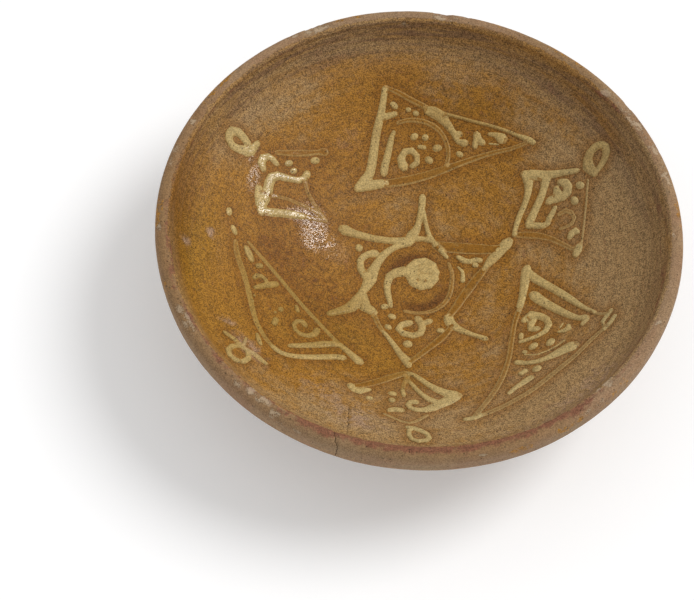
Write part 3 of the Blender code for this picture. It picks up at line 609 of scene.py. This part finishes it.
def shader_group(name, inputs, outputs):
    """A new shader node group, with its tree and the sockets inside it."""
    tree = bpy.data.node_groups.new(name, "ShaderNodeTree")
    for label, value in inputs.items():
        socket = tree.interface.new_socket(label, in_out="INPUT", socket_type="NodeSocketFloat")
        socket.default_value = value
    for label in outputs:
        tree.interface.new_socket(label, in_out="OUTPUT", socket_type="NodeSocketFloat")
    return tree, tree.nodes.new("NodeGroupInput").outputs, tree.nodes.new("NodeGroupOutput").inputs


def use_group(tree, group, **inputs):
    """A node group's outputs in a material, with its inputs set."""
    made = tree.nodes.new("ShaderNodeGroup")
    made.node_tree = group
    for name, value in inputs.items():
        made.inputs[name].default_value = value
    return made.outputs


# The grain of the fired surface: fine light and dark, burst bubbles and pale specks
fired_grain, given, gives = shader_group(
    "fired_grain", {"Size": 0.7 * MM, "Pits": 0.1}, ("Grain", "Coarse", "Pit", "Speck", "Height")
)
tree = fired_grain
where = add(tree, "ShaderNodeTexCoord").outputs["Object"]
fineness = maths(tree, "DIVIDE", 1.0, given["Size"])
fine = noisy(tree, where, fineness, 2.0)
coarse = noisy(tree, where, times(tree, fineness, 0.3), 3.0)
bubble_size = times(tree, fineness, 0.36)
bubble = add(tree, "ShaderNodeTexVoronoi", {"Vector": where, "Scale": bubble_size}).outputs
chance = add(tree, "ShaderNodeSeparateColor", {0: bubble["Color"]}).outputs
pit_here = maths(tree, "LESS_THAN", chance[0], given["Pits"])
pit = times(tree, pit_here, stepped(tree, bubble["Distance"], 0.12, 0.3, 1, 0))
speck_here = maths(tree, "LESS_THAN", chance[1], given["Pits"])
speck = times(tree, speck_here, stepped(tree, bubble["Distance"], 0.1, 0.24, 1, 0))
lumps = maths(tree, "ADD", fine, times(tree, coarse, 1.5))
grain_gives = {
    "Grain": stepped(tree, fine, 0.32, 0.68),
    "Coarse": stepped(tree, coarse, 0.34, 0.66),
    "Pit": pit,
    "Speck": speck,
    "Height": maths(tree, "SUBTRACT", lumps, pit),
}
for label, value in grain_gives.items():
    tree.links.new(value, gives[label])

# Streaks drawn round the bowl by the wheel, seamless because they are taken on the unit circle
wheel_streaks, given, gives = shader_group(
    "wheel_streaks", {"Width": 2.4 * MM, "Length": 5.0}, ("Streak", "Broad")
)
tree = wheel_streaks
where = add(tree, "ShaderNodeTexCoord").outputs["Object"]
flat_place = vector_maths(tree, "MULTIPLY", {0: where, 1: (1, 1, 0)})[0]
spoke = vector_maths(tree, "LENGTH", {0: flat_place})["Value"]
rim_place = vector_maths(tree, "NORMALIZE", {0: flat_place})[0]
place_up = add(tree, "ShaderNodeSeparateXYZ", {0: where}).outputs["Z"]
climb = maths(tree, "DIVIDE", maths(tree, "ADD", spoke, place_up), given["Width"])
stretched = vector_maths(tree, "SCALE", {0: rim_place, "Scale": given["Length"]})[0]
climbing = add(tree, "ShaderNodeCombineXYZ", {"Z": climb}).outputs[0]
streak_place = vector_maths(tree, "ADD", {0: stretched, 1: climbing})[0]
for label, closeness in (("Streak", 1.0), ("Broad", 0.24)):
    drawn = noisy(tree, streak_place, closeness, 3.0)
    tree.links.new(stepped(tree, drawn, 0.32, 0.68), gives[label])

# Cloudy differences of a wood firing, and of centuries in the ground
kiln_clouds, given, gives = shader_group("kiln_clouds", {"Size": 30 * MM}, ("Cloud", "Mottle"))
tree = kiln_clouds
where = add(tree, "ShaderNodeTexCoord").outputs["Object"]
for label, closer, seed in (("Cloud", 1.0, 0.0), ("Mottle", 7.0, 3.1)):
    moved = vector_maths(tree, "ADD", {0: where, 1: (seed, 0, 0)})[0]
    closeness = maths(tree, "DIVIDE", closer, given["Size"])
    clouded = noisy(tree, moved, closeness, 5.0, roughness=0.62, distortion=0.4)
    tree.links.new(stepped(tree, clouded, 0.3, 0.7), gives[label])


def finish(name):
    """A new material, its tree and its Principled shader."""
    material = bpy.data.materials.new(name)
    material.use_nodes = True
    tree = material.node_tree
    return material, tree, tree.nodes["Principled BSDF"]


# The glaze clean, deep and yellow, what time made of it, the clay under it, and crusts, pits and the crack
AMBER = (0.315, 0.146, 0.021, 1)
AMBER_DEEP = (0.190, 0.074, 0.009, 1)
AMBER_YELLOW = (0.26, 0.138, 0.008, 1)
GREY_BUFF = (0.348, 0.228, 0.108, 1)
POOL_BROWN = (0.125, 0.046, 0.009, 1)
LILAC_GREY = (0.36, 0.24, 0.17, 1)
OLIVE_BROWN = (0.335, 0.214, 0.098, 1)
MAUVE_BROWN = (0.172, 0.100, 0.056, 1)
LIP_STAIN = (0.235, 0.13, 0.05, 1)
CLAY_BUFF = (0.36, 0.235, 0.125, 1)
CLAY_PINK = (0.33, 0.185, 0.105, 1)
CLAY_GREY = (0.27, 0.20, 0.125, 1)
RED_BROWN = (0.205, 0.080, 0.045)
CRUST_CREAM = (0.62, 0.50, 0.35, 1)
DARK = (0.03, 0.018, 0.01, 1)


def bare_clay_colour(tree, streaks, clouds):
    """The fired red-buff clay where no glaze covers it."""
    colour = mixed(tree, clouds["Cloud"], CLAY_BUFF, CLAY_PINK)
    colour = mixed(tree, times(tree, streaks["Broad"], 0.45), colour, CLAY_GREY)
    colour = mixed(tree, times(tree, streaks["Streak"], 0.22), colour, CLAY_PINK)
    return mixed(tree, times(tree, clouds["Mottle"], 0.1), colour, CRUST_CREAM)


def speckled(tree, colour, grain, depth):
    """A colour with the grain's light and dark worked into it."""
    both = maths(tree, "ADD", grain["Grain"], times(tree, grain["Coarse"], 0.35))
    shade = stepped(tree, both, 0.1, 1.25, 1 - depth, 1 + depth)
    lit = vector_maths(tree, "SCALE", {0: colour, "Scale": shade})[0]
    lit = mixed(tree, times(tree, grain["Pit"], 0.7), lit, DARK)
    return mixed(tree, times(tree, grain["Speck"], 0.12), lit, CRUST_CREAM)


def glazed(tree, shader, shine, grain_tops, coat_roughness):
    """Gives a shader its glaze: a low sheen, and glints on the grain's tops where the glaze shines."""
    tree.links.new(times(tree, shine, grain_tops), shader.inputs["Coat Weight"])
    shader.inputs["Specular IOR Level"].default_value = 0.13
    shader.inputs["Coat IOR"].default_value = 1.7
    shader.inputs["Coat Roughness"].default_value = coat_roughness


def bumped(tree, shader, height, size):
    """Joins a height, in shares of a size in metres, to a shader's normal."""
    bump = add(tree, "ShaderNodeBump", {"Strength": 1.0, "Distance": size, "Height": height})
    tree.links.new(bump.outputs["Normal"], shader.inputs["Normal"])


glazed_clay, tree, shader = finish("glazed_clay")
grain = use_group(tree, fired_grain, Size=0.58 * MM, Pits=0.15)
streaks = use_group(tree, wheel_streaks, Width=2.6 * MM, Length=5.0)
clouds = use_group(tree, kiln_clouds, Size=30 * MM)

# The glaze: amber and burnt, painted shade below the left lip and beside the slip, greyed by the ground, dull
# on the upper wall, brown by the slip and in pools
weathered = varied(tree, point_value(tree, "weathered"), clouds["Cloud"], 0.42)
weathered = varied(tree, weathered, streaks["Broad"], 0.34)
weathered = varied(tree, weathered, clouds["Mottle"], 0.3)
weathered = stepped(tree, weathered, 0.05, 1.0)
burnt = varied(tree, point_value(tree, "burnt"), clouds["Mottle"], 0.5)
colour = mixed(tree, stepped(tree, burnt, 0.0, 1.0), AMBER, AMBER_DEEP)
colour = laid_over(tree, colour, point_value(tree, "yellowed"), 0.0, 1.1, 0.85, AMBER_YELLOW)
colour = mixed(tree, times(tree, weathered, 0.85), colour, GREY_BUFF)
colour = mixed(tree, times(tree, streaks["Streak"], 0.16), colour, AMBER_DEEP)
dulled = point_value(tree, "dulled")
colour = mixed(tree, times(tree, dulled, 0.85), colour, OLIVE_BROWN)
drawn_round = times(tree, dulled, stepped(tree, streaks["Streak"], 0.2, 0.8, 0.1, 1.1))
colour = mixed(tree, drawn_round, colour, MAUVE_BROWN)
pale_round = times(tree, dulled, stepped(tree, streaks["Broad"], 0.4, 0.85, 0, 0.6))
colour = mixed(tree, pale_round, colour, GREY_BUFF)
# Darker amber beside and between the slip: partly glaze pooled against the trails, partly painted shade
# around them
pool_and_shade_beside_slip = stepped(tree, point_value(tree, "near_slip"), 0.5, 1.7, 0.62, 0)
pool_and_shade_between_slip = stepped(tree, point_value(tree, "near_slip"), 1.0, 6.0, 0.42, 0)
colour = mixed(tree, maths(tree, "MAXIMUM", pool_and_shade_beside_slip, pool_and_shade_between_slip), colour, AMBER_DEEP)
colour = mixed(tree, times(tree, point_value(tree, "pooled"), 0.85), colour, POOL_BROWN)
scuff = times(tree, point_value(tree, "scuffed"), stepped(tree, clouds["Mottle"], 0.1, 0.9, 0.5, 1.4))
colour = laid_over(tree, colour, scuff, 0.1, 1.1, 0.6, LILAC_GREY)

# The clay past the glaze's edge, the red line and the crusts of the lip, and the crack
clay = bare_clay_colour(tree, streaks, clouds)
clay = mixed(tree, times(tree, point_value(tree, "lip_stained"), 0.75), clay, LIP_STAIN)
clay = speckled(tree, clay, grain, 0.24)
glaze_here = varied(tree, point_value(tree, "covered"), clouds["Mottle"], 0.5)
glaze_here = varied(tree, glaze_here, grain["Coarse"], 0.2)
glaze_here = stepped(tree, glaze_here, 0.38, 0.56)
colour = mixed(tree, glaze_here, clay, speckled(tree, colour, grain, 0.5))
red = varied(tree, point_value(tree, "red_worn"), streaks["Streak"], 0.5)
red = varied(tree, red, clouds["Mottle"], 0.7)
colour = laid_over(tree, colour, red, 0.3, 1.0, 0.85, speckled(tree, RED_BROWN, grain, 0.35))
crust = times(tree, point_value(tree, "crusted"), stepped(tree, clouds["Mottle"], 0.2, 0.8, 0.35, 1.3))
crust = times(tree, crust, stepped(tree, grain["Grain"], 0.0, 1.0, 0.7, 1.25))
crust_here = stepped(tree, crust, 0.35, 0.85)
colour = mixed(tree, times(tree, crust_here, 0.42), colour, CRUST_CREAM)
colour = laid_over(tree, colour, point_value(tree, "cracked"), 0.25, 0.8, 0.9, DARK)
tree.links.new(colour, shader.inputs["Base Color"])

# The shine of thick glaze, which neither the ground nor the crusts have taken, and the relief
shine = without(tree, point_value(tree, "glassy"), weathered)
shine = times(tree, shine, glaze_here)
shine = without(tree, shine, crust_here)
glazed(tree, shader, stepped(tree, shine, 0.05, 0.9), stepped(tree, grain["Grain"], 0.5, 0.95), 0.06)
matt = stepped(tree, weathered, 0.0, 0.8, 0.42, 0.62)
matt = maths(tree, "SUBTRACT", matt, times(tree, shine, 0.12))
rough = add(tree, "ShaderNodeMix", {0: glaze_here, 2: 0.85, 3: matt}).outputs[0]
tree.links.new(rough, shader.inputs["Roughness"])
relief = maths(tree, "ADD", grain["Height"], times(tree, streaks["Streak"], 0.5))
relief = maths(tree, "ADD", relief, times(tree, crust_here, 1.2))
bumped(tree, shader, relief, 0.16 * MM)

clay_body.data.materials.append(glazed_clay)
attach(clay_body, "root")
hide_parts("clay_body")

# The foot ring
# A coil of the same clay, luted under the body and turned flat while leather hard, unglazed. Its top runs
# into the body, and its flat face is rubbed by use.

FOOT_SEGMENTS, FOOT_GAP = 288, 0.9 * MM
LUTED_IN, LUTED_FROM, LUTED_TO = 0.55 * MM, 3.5 * MM, 5.5 * MM
FACE_FROM, FACE_TO = 0.4 * MM, 2 * MM

foot_line = softened(section_of("foot_ring"), closed=True)
foot_area = sum(a.x * b.y - b.x * a.y for a, b in zip(foot_line, foot_line[1:] + foot_line[:1]))
if foot_area > 0:
    foot_line.reverse()
foot_rings = spaced(foot_line, lambda i, point: FOOT_GAP)[:-1]
foot_counts = [FOOT_SEGMENTS] * len(foot_rings)
foot_turn = np.tile(np.arange(FOOT_SEGMENTS) * (math.tau / FOOT_SEGMENTS), len(foot_rings))
foot_place = np.repeat(np.array([tuple(point) for _, point in foot_rings]), FOOT_SEGMENTS, axis=0)
foot_circle = np.stack([np.cos(foot_turn), np.sin(foot_turn)], axis=1)
foot_points = np.column_stack([foot_circle * foot_place[:, :1], foot_place[:, 1]])
foot_uneven = (0.14 * cloudy(foot_points, 9 * MM, 31.0) + 0.07 * cloudy(foot_points, 3 * MM, 37.0)) * MM
foot_radius = foot_place[:, 0] + foot_uneven
foot_height = foot_place[:, 1] + LUTED_IN * rising(foot_place[:, 1], LUTED_FROM, LUTED_TO)
foot_height = np.maximum(foot_height + 0.4 * foot_uneven * rising(foot_place[:, 1], FACE_FROM, FACE_TO), 0)
foot = linked(
    "foot_ring_turned",
    np.column_stack([foot_circle * foot_radius[:, None], foot_height]),
    turned_faces(foot_counts, closed=True),
)

bare_clay, tree, shader = finish("bare_clay")
grain = use_group(tree, fired_grain, Size=0.8 * MM, Pits=0.16)
streaks = use_group(tree, wheel_streaks, Width=1.6 * MM, Length=6.0)
clouds = use_group(tree, kiln_clouds, Size=20 * MM)
RUBBED_CLAY = (0.40, 0.30, 0.21, 1)
standing = add(tree, "ShaderNodeTexCoord").outputs["Object"]
up = add(tree, "ShaderNodeSeparateXYZ", {0: standing}).outputs["Z"]
rubbed = stepped(tree, up, 0.1 * MM, 0.9 * MM, 1, 0)
rubbed = times(tree, rubbed, stepped(tree, clouds["Mottle"], 0.2, 0.8, 0.35, 0.9))
colour = mixed(tree, rubbed, bare_clay_colour(tree, streaks, clouds), RUBBED_CLAY)
tree.links.new(speckled(tree, colour, grain, 0.3), shader.inputs["Base Color"])
tree.links.new(stepped(tree, rubbed, 0, 1, 0.9, 0.66), shader.inputs["Roughness"])
shader.inputs["Specular IOR Level"].default_value = 0.2
bumped(tree, shader, maths(tree, "ADD", grain["Height"], streaks["Streak"]), 0.18 * MM)

foot.data.materials.append(bare_clay)
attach(foot, "root")
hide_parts("foot_ring")

# The trailed slip
# Liquid white clay, trailed from a quill or a tube onto the leather-hard bowl in strokes and drops, thick
# in the cream trails and thin in the bands, which are pale along their edges and amber between them.

SLIP_VOXEL, SLIP_SPREAD, SLIP_SMOOTHING, FIRST_SMOOTHING = 0.28 * MM, 0.45 * MM, 5, 3
# In millimetres: the solids' clearance, how deep the slip is sunk to join the clay, and where a crown starts
SEAT_GAP, SUNK, CROWN_FROM = 0.4, 1.05, 0.72
CROWNS_NEAR = 4

inner = [point for along, point in body_rings if along <= brim_along]
inner_radii = np.array([point.x for point in inner])
inner_heights = np.array([point.y for point in inner])
inner_slopes = np.gradient(inner_heights, inner_radii)


def stood_on(points):
    """How far points stand off the bowl's smooth inner surface, and which way it faces under them."""
    spoke = np.hypot(points[:, 0], points[:, 1])
    slope = np.interp(spoke, inner_radii, inner_slopes)
    tilt = 1 / np.hypot(1, slope)
    outward = points[:, :2] / np.maximum(spoke, MM)[:, None]
    facing = np.column_stack([-outward * (slope * tilt)[:, None], tilt])
    return (points[:, 2] - np.interp(spoke, inner_radii, inner_heights)) * tilt, facing


def places_of(mesh):
    """The points of a mesh as an array."""
    points = np.empty(len(mesh.vertices) * 3)
    mesh.vertices.foreach_get("co", points)
    return points.reshape(-1, 3)


def remeshed(name, mesh, voxel, spread, smoothing):
    """A piece with that mesh as one even skin, spread and its edges rounded as slip does before it dries."""
    piece = bpy.data.objects.new(name, mesh)
    bpy.context.scene.collection.objects.link(piece)
    for skin_name, rounds in (("one_skin", FIRST_SMOOTHING), ("even_skin", smoothing)):
        skin = piece.modifiers.new(skin_name, "REMESH")
        skin.mode = "VOXEL"
        skin.voxel_size = voxel
        rounding = piece.modifiers.new(skin_name + "_rounding", "SMOOTH")
        rounding.factor = 0.5
        rounding.iterations = rounds
        if skin_name == "one_skin":
            swelling = piece.modifiers.new("spreading", "DISPLACE")
            swelling.mid_level = 0
            swelling.strength = spread
    return piece


def skin_taken(piece):
    """Takes the modifiers' result as a piece's mesh, and gives its points."""
    mesh = bpy.data.meshes.new_from_object(piece.evaluated_get(bpy.context.evaluated_depsgraph_get()))
    piece.modifiers.clear()
    piece.data = mesh
    return places_of(mesh)


# Where the thin bands still show pale
PALE_BANDS = (
    (26, 19.5, 19, 5, 0, 1.0),
    (8, 58, 34, 8, 22, 0.65),
    (67, 57, 8, 5, 0, 0.6),
    (-62, 53, 16, 5, -20, 0.5),
)
# Where the slip lies under darker glaze
VEILED = (
    (10, 76, 46, 20, 10, 0.35),
    (-20, 18, 9, 5, 0, 0.6),
    (81, 61, 8, 10, 0, 0.8),
    (22, 82, 22, 3, -9, 0.9),
)
# Where the glaze ran yellow over the slip alone
SLIP_YELLOWED = (
    (-66, -30, 26, 46, -40, 1.2),
    (-30, -30, 20, 20, 0, 0.4),
)
SLIP_MARKS = {
    "weathered": WEATHERED,
    "yellowed": YELLOWED + SLIP_YELLOWED,
    "scuffed": SCUFFED,
    "pale": PALE_BANDS,
    "veiled": VEILED,
}


def settled(piece, points, full, lines, sunk):
    """Sinks a piece into the clay, and keeps its height, fullness, outline and marks for its material."""
    off, facing = stood_on(points)
    shining = patches(points[:, 0], points[:, 1], GLASSY + SLIP_GLASSY)
    uneven = 0.08 * cloudy(points, 2.4 * MM, 41.0) + 0.06 * shining * cloudy(points, 1.2 * MM, 43.0)
    points += facing * ((uneven - sunk) * MM)[:, None]
    piece.data.vertices.foreach_set("co", points.ravel())
    piece.data.shade_smooth()
    piece.data.update()
    for name, values in (("rise", off / MM - sunk), ("full", full), ("lined", lines), ("glassy", shining)):
        keep(piece, name, values)
    for name, places in SLIP_MARKS.items():
        keep(piece, name, patches(points[:, 0], points[:, 1], places))


SLIP_CREAM = (0.490, 0.350, 0.136, 1)
SLIP_EDGE = (0.30, 0.165, 0.038, 1)
SLIP_PALE = (0.42, 0.265, 0.092, 1)
SLIP_YELLOW = (0.335, 0.205, 0.050, 1)
SLIP_GREY = (0.40, 0.32, 0.17, 1)
BAND_AMBER = (0.255, 0.112, 0.013, 1)


def slip_finish(name, cream):
    """A slip's glazed finish: its colour on the crown, its edges, its grain and its shine."""
    material, tree, shader = finish(name)
    grain = use_group(tree, fired_grain, Size=0.66 * MM, Pits=0.2)
    clouds = use_group(tree, kiln_clouds, Size=20 * MM)
    crown = varied(tree, point_value(tree, "rise"), grain["Coarse"], 0.16)
    trail = mixed(tree, stepped(tree, crown, -0.06, 0.16), SLIP_EDGE, cream)
    pale = stepped(tree, point_value(tree, "pale"), 0.0, 0.9, 0.65, 1.0)
    band_pale = times(tree, stepped(tree, point_value(tree, "lined"), 0.6, 1.4, 1, 0), pale)
    band = mixed(tree, band_pale, BAND_AMBER, SLIP_PALE)
    body = varied(tree, point_value(tree, "full"), clouds["Mottle"], 0.12)
    colour = mixed(tree, stepped(tree, body, 0.6, 0.8), band, trail)
    colour = laid_over(tree, colour, clouds["Cloud"], 0.4, 1.0, 0.25, SLIP_EDGE)
    colour = laid_over(tree, colour, point_value(tree, "yellowed"), 0.0, 1.2, 0.9, SLIP_YELLOW)
    colour = laid_over(tree, colour, point_value(tree, "weathered"), 0.3, 1.2, 0.35, SLIP_GREY)
    colour = laid_over(tree, colour, point_value(tree, "veiled"), 0.0, 1.0, 0.45, SLIP_EDGE)
    colour = laid_over(tree, colour, point_value(tree, "scuffed"), 0.3, 1.0, 0.4, LILAC_GREY)
    tree.links.new(speckled(tree, colour, grain, 0.28), shader.inputs["Base Color"])
    shine = times(tree, point_value(tree, "glassy"), 0.9)
    grain_tops = stepped(tree, grain["Grain"], 0.35, 0.85)
    glazed(tree, shader, stepped(tree, shine, 0.0, 1.0, 0.02, 1.0), grain_tops, 0.08)
    tree.links.new(stepped(tree, shine, 0.0, 1.0, 0.5, 0.36), shader.inputs["Roughness"])
    bumped(tree, shader, grain["Height"], 0.12 * MM)
    return material


cream_slip = slip_finish("cream_slip", SLIP_CREAM)
thin_slip = slip_finish("thin_slip", SLIP_PALE)


def found_by_place(points):
    """A tree that finds the nearest of these points."""
    places = kdtree.KDTree(len(points))
    for i, point in enumerate(points):
        places.insert(point, i)
    places.balance()
    return places


def fullness(solid, points):
    """The height of the CAD solid's crown nearest to each point, in millimetres."""
    corners = places_of(solid)
    off = stood_on(corners)[0] / MM
    heights = off[off > CROWN_FROM] - SEAT_GAP
    crowns = found_by_place(corners[off > CROWN_FROM].tolist())
    near = [crowns.find_n(point, CROWNS_NEAR) for point in points.tolist()]
    return np.array([max(heights[i] for _, i, _ in found) for found in near])


OUTLINE_ANGLE = math.radians(60)


def from_outline(solid, points):
    """How far each point is from the CAD solid's sharp edges, across the bowl in millimetres."""
    joined = bmesh.new()
    joined.from_mesh(solid)
    bmesh.ops.remove_doubles(joined, verts=joined.verts, dist=FLAT)
    spots = []
    for edge in joined.edges:
        if edge.calc_face_angle(0.0) < OUTLINE_ANGLE:
            continue
        start, end = (vert.co for vert in edge.verts)
        steps = math.ceil((end - start).length / SLIP_VOXEL)
        spots += [start.lerp(end, step / steps) for step in range(steps + 1)]
    joined.free()
    outline = found_by_place(spots)
    nearest = [(Vector(point), outline.find(point)[0]) for point in points.tolist()]
    return np.array([(found - point).to_2d().length / MM for point, found in nearest])


slots = {row["node"]: row["material_slot"] for row in frame["record"]["subparts"]}
strokes = {}
for name in slip_nodes:
    laid = frame["nodes"][name].data.copy()
    strokes[name] = remeshed(name + "_trailed", laid, SLIP_VOXEL, SLIP_SPREAD, SLIP_SMOOTHING)
for name, piece in strokes.items():
    solid = frame["nodes"][name].data
    points = skin_taken(piece)
    settled(piece, points, fullness(solid, points), from_outline(solid, points), SUNK)
    piece.data.materials.clear()
    piece.data.materials.append(thin_slip if slots[name] == "thin_slip" else cream_slip)
    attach(piece, "root")
    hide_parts(name)

# The smallest deposits
# Drops, flicks and a few thin lines of the same slip, too small to be solids of their own. Each is laid
# down as a stroke of overlapping dabs: x, y and width at each of its points, in millimetres.


def drop(x, y, length, width, degrees=0):
    """A drop as a stroke: its middle, its length and width in millimetres, and the degrees it is turned."""
    half = max(length - width, 0.1) / 2
    dx, dy = half * math.cos(math.radians(degrees)), half * math.sin(math.radians(degrees))
    return [(x - dx, y - dy, width), (x + dx, y + dy, width)]


SMALL_DEPOSITS = {
    "star": [
        drop(-12.1, -18.9, 4.2, 3.2, 30),
        drop(16.4, -29.2, 4.2, 3.2),
        drop(29.6, 10.4, 3.4, 2.8),
        [(21.4, 8.6, 1.4), (23.6, 6.6, 1.8), (24.2, 3.6, 2.3), (24.3, 1.2, 2.6)],
    ],
    "top_triangle": [
        drop(-13.1, 84.7, 3, 2.4),
        drop(-9.1, 83.6, 3.4, 2.9, -10),
        drop(-2.9, 73.4, 3.2, 3.6, 90),
        drop(-3.9, 68.7, 4.8, 2.5),
        [(29.4, 72.9, 1.1), (33.8, 72.5, 1.1)],
    ],
    "right_triangle": [
        drop(54.9, -31.4, 4.4, 2.6, 90),
        drop(57.2, -54.8, 5.4, 2.8, 40),
        [(72, -30.2, 1.4), (74.6, -29.8, 2.6), (76.6, -28.6, 3.2), (76.4, -27, 2.4)],
        [(72.6, -27.6, 1), (74, -25.2, 1)],
        drop(57.2, -41.6, 2.8, 2.4),
        [(57.3, -43.3, 0.9), (63, -43.6, 0.9), (68, -41.4, 0.9), (72.4, -38.4, 0.9), (75.4, -35.6, 0.9)],
    ],
    "bottom_kite": [drop(-13.2, -79.3, 3.8, 2.6)],
    "left_triangle": [
        drop(-74.6, -14.1, 4.4, 3, 30),
        drop(-61.1, -35.2, 3.4, 2.8, 60),
        drop(-62.7, -43.8, 5.8, 3.4, 80),
        drop(-53.6, -31.8, 4.8, 2.4, -70),
        [(-69.6, -55.8, 2.2), (-68.6, -58.8, 3), (-67.4, -61.2, 2.4)],
        drop(-74.4, -32.3, 1.8, 1.5),
        drop(-74.6, -36, 1.8, 1.5),
        drop(-63.4, -37.9, 1.8, 1.5),
        [(-74.6, -65.4, 2.2), (-74.2, -61, 1.8)],
    ],
}
DAB_GAP, DAB_FLATNESS, DAB_MOST = 0.35, 0.62, 0.95
DROP_VOXEL, DROP_SPREAD, DROP_SMOOTHING, DROP_SUNK = 0.22 * MM, 0.1 * MM, 4, 0.05
# A drop is as full as a trail, and has no pale line along its edges
DROP_FULL, DROP_LINED = 1.0, 9.0


def lay_dab(dabs, x, y, width):
    """Lays one flattened dab on the bowl's inner surface."""
    half = width / 2
    place = np.array([[x, y, 0.0]]) * MM
    place[0, 2] = np.interp(np.hypot(*place[0, :2]), inner_radii, inner_heights)
    lean = Vector(stood_on(place)[1][0]).to_track_quat("Z", "Y").to_matrix().to_4x4()
    size = Matrix.Diagonal((half * MM, half * MM, min(half * DAB_FLATNESS, DAB_MOST) * MM, 1))
    matrix = Matrix.Translation(place[0]) @ lean @ size
    bmesh.ops.create_icosphere(dabs, subdivisions=2, radius=1.0, matrix=matrix)


for motif, laid in SMALL_DEPOSITS.items():
    dabs = bmesh.new()
    for stroke in laid:
        for (x, y, width), (x2, y2, width2) in zip(stroke, stroke[1:]):
            steps = max(2, round(math.hypot(x2 - x, y2 - y) / DAB_GAP))
            for step in range(steps + 1):
                share = step / steps
                lay_dab(dabs, x + (x2 - x) * share, y + (y2 - y) * share, width + (width2 - width) * share)
    mesh = bpy.data.meshes.new(motif + "_small_drops")
    dabs.to_mesh(mesh)
    dabs.free()
    piece = remeshed(motif + "_small_drops", mesh, DROP_VOXEL, DROP_SPREAD, DROP_SMOOTHING)
    points = skin_taken(piece)
    settled(piece, points, np.full(len(points), DROP_FULL), np.full(len(points), DROP_LINED), DROP_SUNK)
    piece.data.materials.clear()
    piece.data.materials.append(cream_slip)
    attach(piece, "root")

# The stage
# A white table, one large soft lamp from the right and behind, the room's even light, and the photograph's
# camera.

TABLE_SIZE, PAPER_WHITE, PAPER_LIFT = 6, (0.87, 0.87, 0.872, 1), 0.2


def seen_at_all(tree):
    """1 for what is seen, straight, mirrored or through glass, and 0 for light that only falls on things."""
    ray = add(tree, "ShaderNodeLightPath").outputs
    straight = maths(tree, "MAXIMUM", ray["Is Camera Ray"], ray["Is Glossy Ray"])
    return maths(tree, "MAXIMUM", straight, ray["Is Transmission Ray"])


bpy.ops.mesh.primitive_plane_add(size=TABLE_SIZE)
table_top = bpy.context.object
table_top.name = "table_top"
white_paper, tree, shader = finish("white_paper")
shader.inputs["Base Color"].default_value = PAPER_WHITE
shader.inputs["Roughness"].default_value = 0.9
shader.inputs["Specular IOR Level"].default_value = 0.0
shader.inputs["Emission Color"].default_value = (1, 1, 1, 1)
tree.links.new(times(tree, seen_at_all(tree), PAPER_LIFT), shader.inputs["Emission Strength"])
paper_side = add(tree, "ShaderNodeNewGeometry").outputs["Backfacing"]
see_through = add(tree, "ShaderNodeBsdfTransparent").outputs[0]
one_sided = add(tree, "ShaderNodeMixShader", {0: paper_side, 1: shader.outputs[0], 2: see_through})
tree.links.new(one_sided.outputs[0], tree.nodes["Material Output"].inputs["Surface"])
table_top.data.materials.append(white_paper)

world = bpy.data.worlds.new("room")
bpy.context.scene.world = world
world.use_nodes = True
tree = world.node_tree
ROOM_LIGHT = 0.6
sky = tree.nodes["Background"]
sky.inputs["Color"].default_value = (1, 1, 1, 1)
room_seen = times(tree, seen_at_all(tree), 1 - ROOM_LIGHT)
tree.links.new(maths(tree, "ADD", room_seen, ROOM_LIGHT), sky.inputs["Strength"])

LAMP_AZIMUTH, LAMP_ELEVATION = math.radians(26), math.radians(51)
LAMP_STRENGTH, LAMP_WIDTH = 1.6, math.radians(28)
lamp_data = bpy.data.lights.new("soft_lamp", "SUN")
lamp_data.energy = LAMP_STRENGTH
lamp_data.angle = LAMP_WIDTH
lamp = bpy.data.objects.new("soft_lamp", lamp_data)
lamp_from = Vector((math.cos(LAMP_AZIMUTH), math.sin(LAMP_AZIMUTH), math.tan(LAMP_ELEVATION)))
lamp.rotation_mode = "QUATERNION"
lamp.rotation_quaternion = lamp_from.to_track_quat("Z", "Y")
bpy.context.scene.collection.objects.link(lamp)

CAMERA_ELEVATION, CAMERA_DISTANCE = math.radians(58.5), 1.1
CAMERA_YAW, CAMERA_PITCH, CAMERA_ROLL = math.radians(-1.590), math.radians(-1.241), math.radians(4.52)
CAMERA_TARGET = Vector((0, 0, 35 * MM))
LENS_PIXELS, PICTURE_WIDTH, SENSOR_WIDTH = 2264.8, 694, 36
back = Vector((0, -math.cos(CAMERA_ELEVATION), math.sin(CAMERA_ELEVATION)))
sideways = Vector((1, 0, 0))
ahead = -back + sideways * math.tan(CAMERA_YAW)
ahead = (ahead + sideways.cross(-back) * math.tan(CAMERA_PITCH)).normalized()
level_right = ahead.cross(Vector((0, 0, 1))).normalized()
level_up = level_right.cross(ahead)
right = level_right * math.cos(CAMERA_ROLL) + level_up * math.sin(CAMERA_ROLL)
upward = level_up * math.cos(CAMERA_ROLL) - level_right * math.sin(CAMERA_ROLL)
camera_data = bpy.data.cameras.new("camera")
camera_data.sensor_width = SENSOR_WIDTH
camera_data.lens = SENSOR_WIDTH * LENS_PIXELS / PICTURE_WIDTH
camera_data.clip_start = 0.01
camera = bpy.data.objects.new("camera", camera_data)
camera.rotation_mode = "QUATERNION"
camera.rotation_quaternion = Matrix((right, upward, -ahead)).transposed().to_quaternion()
camera.location = CAMERA_TARGET + back * CAMERA_DISTANCE
bpy.context.scene.collection.objects.link(camera)
bpy.context.scene.camera = camera
bpy.context.scene.view_settings.view_transform = "Standard"
